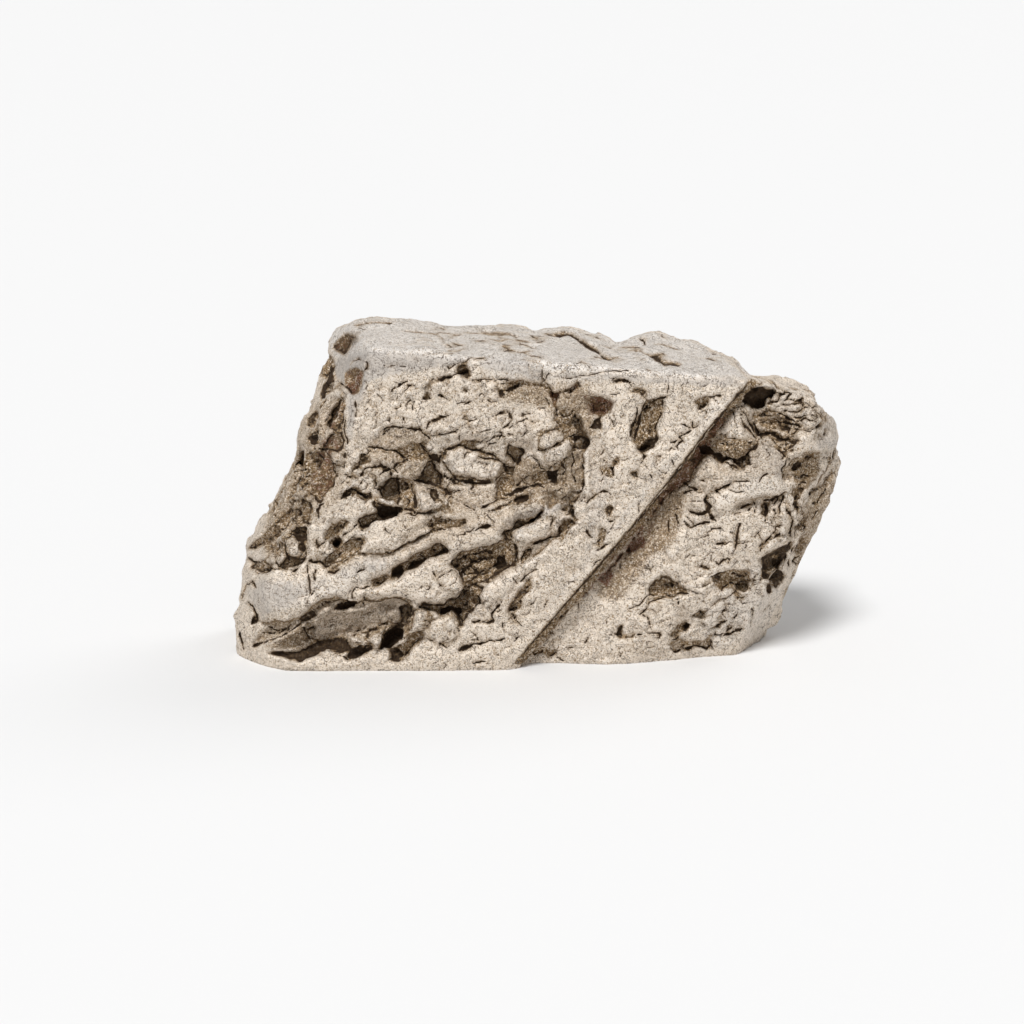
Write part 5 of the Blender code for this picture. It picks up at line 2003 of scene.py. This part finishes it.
@dataclass
class Fragment:
    """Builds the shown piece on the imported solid.

    Attributes:
        node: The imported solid's object.
        easel: The sheets of strokes.
        meshing: Sizes of the meshes.
        crystal: Sizes of the relief.
        material: The finish.
        broad_rounds: Rounds of smoothing that leave only the broad shape.
        depth_rounds: Rounds of smoothing of the seen side's depth.
        wall_gap: Distances from the wall's foot, in sheet units, between which the extra smoothing ends.
        foot: Height below which the underside is laid flat, in millimetres.
        torn_behind: Share of crumpled relief on the sides that aren't seen.
    """

    node: bpy.types.Object
    easel: Easel
    meshing: Meshing
    crystal: Crystal
    material: bpy.types.Material
    broad_rounds: int = 24
    depth_rounds: int = 40
    wall_gap: tuple = (14.0, 30.0)
    foot: float = 0.22
    torn_behind: float = 0.30

    def first_skin(self) -> Skin:
        """Copy the solid, merge it and mesh it evenly.

        Returns:
            The skin.
        """
        shape = bmesh.new()
        shape.from_mesh(self.node.data)
        bmesh.ops.remove_doubles(shape, verts=shape.verts, dist=1e-7)
        mesh = bpy.data.meshes.new("skin")
        shape.to_mesh(mesh)
        shape.free()
        return Skin(remeshed(mesh, self.meshing.first_voxel))

    def soften(self, skin: Skin) -> None:
        """Take the solid's facets off, and more of its small relief off the seen side.

        Args:
            skin: The skin.
        """
        skin.points = skin.relaxed(skin.points, 4)
        skin.store()
        across, down, towards = self.easel.seen_from_camera(skin)
        share = smooth_step(0.2, 0.5, dotted(skin.facing(self.broad_rounds), towards))
        depth = dotted(skin.points, towards)[:, None]
        eased = skin.relaxed(depth, self.depth_rounds)
        gap, _, _ = along_line(across, down, BAND_FOOT)
        by_wall = (1.0 - smooth_step(*self.wall_gap, gap))[:, None]
        smoother = skin.relaxed(eased, 3 * self.depth_rounds)
        eased += by_wall * (smoother - eased)
        skin.points += towards * ((eased - depth)[:, 0] * share * 0.9)[:, None]
        skin.store()

    def stand_flat(self, skin: Skin) -> None:
        """Keep the underside on the level that the fragment stands on.

        Args:
            skin: The skin.
        """
        under = (skin.points[:, 2] < self.foot) & (skin.normals()[:, 2] < -0.5)
        skin.points[under, 2] = 0.0
        skin.points[:, 2] = np.maximum(skin.points[:, 2], 0.0)
        skin.store()

    def measure(self, skin: Skin) -> None:
        """Store where the surface is sunk, where it stands proud and what lies round dark places. The sunk
        mask paints crevices dark, as dark oxide and painted shade; the proud mask paints ridges pale, as wear
        and painted highlight.

        Args:
            skin: The skin.
        """
        normals = skin.normals()
        fine = skin.relaxed(skin.points, 5)
        wide = skin.relaxed(fine, 30)
        near = dotted(fine - skin.points, normals)
        far = dotted(wide - skin.points, normals)
        # Concave places, later painted dark: dark oxide and painted shade in crevices.
        skin.mark("crevice_oxide_and_shade", smooth_step(0.006, 0.045, near))
        # Convex places, later painted pale: worn high spots and painted highlight.
        skin.mark("ridge_wear_and_highlight", smooth_step(0.002, 0.030, -near))
        skin.mark("hollow", smooth_step(0.03, 0.22, far))
        dark = np.maximum(skin.read("soot"), 0.8 * skin.read("crack"))
        skin.mark("halo", np.clip(2.2 * skin.relaxed(dark[:, None], 8, 0.6)[:, 0], 0.0, 1.0))

    def thinned(self, skin: Skin) -> bpy.types.Object:
        """Take triangles off where the surface is even, with its own goal for the seen side.

        Args:
            skin: The finished skin, with its "seen" attribute.

        Returns:
            The object that holds the thinned mesh.
        """
        item = linked("meteorite_skin", skin.mesh)
        near = skin.read("seen") > 0.5
        corners = np.empty(len(skin.mesh.loops), np.int32)
        skin.mesh.loops.foreach_get("vertex_index", corners)
        total = len(corners) // 2
        seen_now = int(near[corners].sum()) // 2
        goal = self.meshing.triangles
        seen_goal = min(seen_now, int(goal * self.meshing.seen_share))
        after_first = seen_now + goal - seen_goal
        stages = (("unseen", ~near, after_first / total), ("seen", near, goal / after_first))
        for name, chosen, ratio in stages:
            item.vertex_groups.new(name=name).add(np.flatnonzero(chosen).tolist(), 1.0, "REPLACE")
            fewer = item.modifiers.new(name, "DECIMATE")
            fewer.vertex_group = name
            fewer.ratio = min(ratio, 1.0)
            fewer.use_collapse_triangulate = True
        made = evaluated_mesh(item)
        item.modifiers.clear()
        item.vertex_groups.clear()
        item.data = made
        return item

    def cut(self) -> Skin:
        """Draw every stroke on the skin and raise the relief.

        Returns:
            The finished skin, before triangles are taken off.
        """
        skin = self.first_skin()
        self.soften(skin)
        LOG.info("first skin: %d points", skin.count)
        self.easel.nudge(skin, NUDGES)
        self.easel.press_broad(skin, skin.facing(self.broad_rounds))
        skin = Skin(remeshed(skin.mesh, self.meshing.second_voxel))
        LOG.info("second skin: %d points", skin.count)
        skin.points = skin.relaxed(skin.points, 2)
        skin.store()
        facing = skin.facing(2 * self.broad_rounds)
        self.easel.press_fine(skin, facing)
        square = dotted(facing, self.easel.seen_from_camera(skin)[2])
        behind = 1.0 - smooth_step(0.0, 0.2, square)
        skin.mark("torn", np.maximum(skin.read("torn"), self.torn_behind * behind))
        skin.mark("bedded", 0.25 + 0.35 * behind)
        skin.mark("seen", smooth_step(0.28, 0.36, square))
        skin = Skin(ReliefTree().apply(skin.mesh, self.crystal, self.material))
        LOG.info("relief raised")
        return skin

    def build(self) -> bpy.types.Object:
        """Make the piece.

        Returns:
            The finished object.
        """
        skin = self.cut()
        self.stand_flat(skin)
        self.measure(skin)
        item = self.thinned(skin)
        item.data.shade_smooth()
        LOG.info("finished skin: %d triangles", len(item.data.polygons))
        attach(item, "root")
        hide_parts("meteorite")
        return item


# ---- The studio ----


@dataclass(frozen=True)
class Lamp:
    """A far soft light: where it comes from, how wide it looks in degrees and its strength."""

    name: str
    direction: tuple
    width: float
    strength: float


def aimed(item: bpy.types.Object, direction: Vector) -> None:
    """Turn a lamp or a camera to look along a direction."""
    item.rotation_mode = "QUATERNION"
    item.rotation_quaternion = direction.to_track_quat("-Z", "Y")


@dataclass
class Studio:
    """The floor, the light and the camera."""

    viewpoint: Viewpoint
    floor_half: float = 4000.0
    floor_colour: tuple = (0.77, 0.77, 0.77, 1.0)
    floor_roughness: float = 0.9
    sky: float = 0.38
    sky_colour: tuple = (1.0, 1.0, 1.0, 1.0)
    near_limit: float = 0.01
    far_limit: float = 50.0
    lamps: tuple = (
        Lamp("key light", (-0.12, -0.52, 0.86), 18.0, 2.75),
        Lamp("rear light", (0.60, 0.50, 0.70), 35.0, 0.6),
    )

    def make_floor(self) -> None:
        """Lay the pale floor."""
        shape = bmesh.new()
        bmesh.ops.create_grid(shape, x_segments=1, y_segments=1, size=self.floor_half * MM)
        mesh = bpy.data.meshes.new("floor")
        shape.to_mesh(mesh)
        shape.free()
        floor = linked("floor", mesh)
        paper = bpy.data.materials.new("pale paper")
        paper.use_nodes = True
        shader = paper.node_tree.nodes["Principled BSDF"]
        shader.inputs["Base Color"].default_value = self.floor_colour
        shader.inputs["Roughness"].default_value = self.floor_roughness
        floor.data.materials.append(paper)

    def make_light(self) -> None:
        """Hang the lamps and light the surroundings."""
        world = bpy.data.worlds.new("studio")
        world.use_nodes = True
        ground = world.node_tree.nodes["Background"]
        ground.inputs["Color"].default_value = self.sky_colour
        ground.inputs["Strength"].default_value = self.sky
        bpy.context.scene.world = world
        for lamp in self.lamps:
            light = bpy.data.lights.new(lamp.name, "SUN")
            light.angle = math.radians(lamp.width)
            light.energy = lamp.strength
            item = linked(lamp.name, light)
            aimed(item, -Vector(lamp.direction))

    def make_camera(self) -> None:
        """Set up the camera."""
        camera = bpy.data.cameras.new("camera")
        camera.lens = self.viewpoint.lens
        camera.sensor_width = self.viewpoint.sensor
        camera.clip_start = self.near_limit
        camera.clip_end = self.far_limit
        item = linked("camera", camera)
        item.location = Vector(self.viewpoint.place()) * MM
        aimed(item, Vector(self.viewpoint.target) * MM - item.location)
        bpy.context.scene.camera = item

    def build(self) -> None:
        """Make the floor, the light and the camera."""
        self.make_floor()
        self.make_light()
        self.make_camera()
        bpy.context.scene.view_settings.view_transform = "Standard"


def main() -> None:
    """Build the fragment's looks and the studio round it."""
    logging.basicConfig(level=logging.INFO, format="%(name)s: %(message)s")
    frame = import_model()
    meshing = Meshing()
    viewpoint = Viewpoint()
    strewn = FRONT_CRACKS.fine() + TOP_STREAKS.fine()
    drawings = [Drawing(Side.FRONT, FRONT_BROAD + SLOT, strewn + FRONT_FINE, FRONT_WASHES)]
    for side, marks in GUESSED.items():
        drawings.append(Drawing(side, marks.broad(), marks.fine(), marks.tints(), 1.1))
    easel = Easel(viewpoint, tuple(drawings))
    material = MetalMaterial(MetalFinish()).build()
    piece = Fragment(frame["nodes"]["meteorite"], easel, meshing, Crystal(), material).build()
    LOG.info("%s: %d points", piece.name, len(piece.data.vertices))
    Studio(viewpoint).build()
    LOG.info("studio ready")


if __name__ == "__main__":
    main()
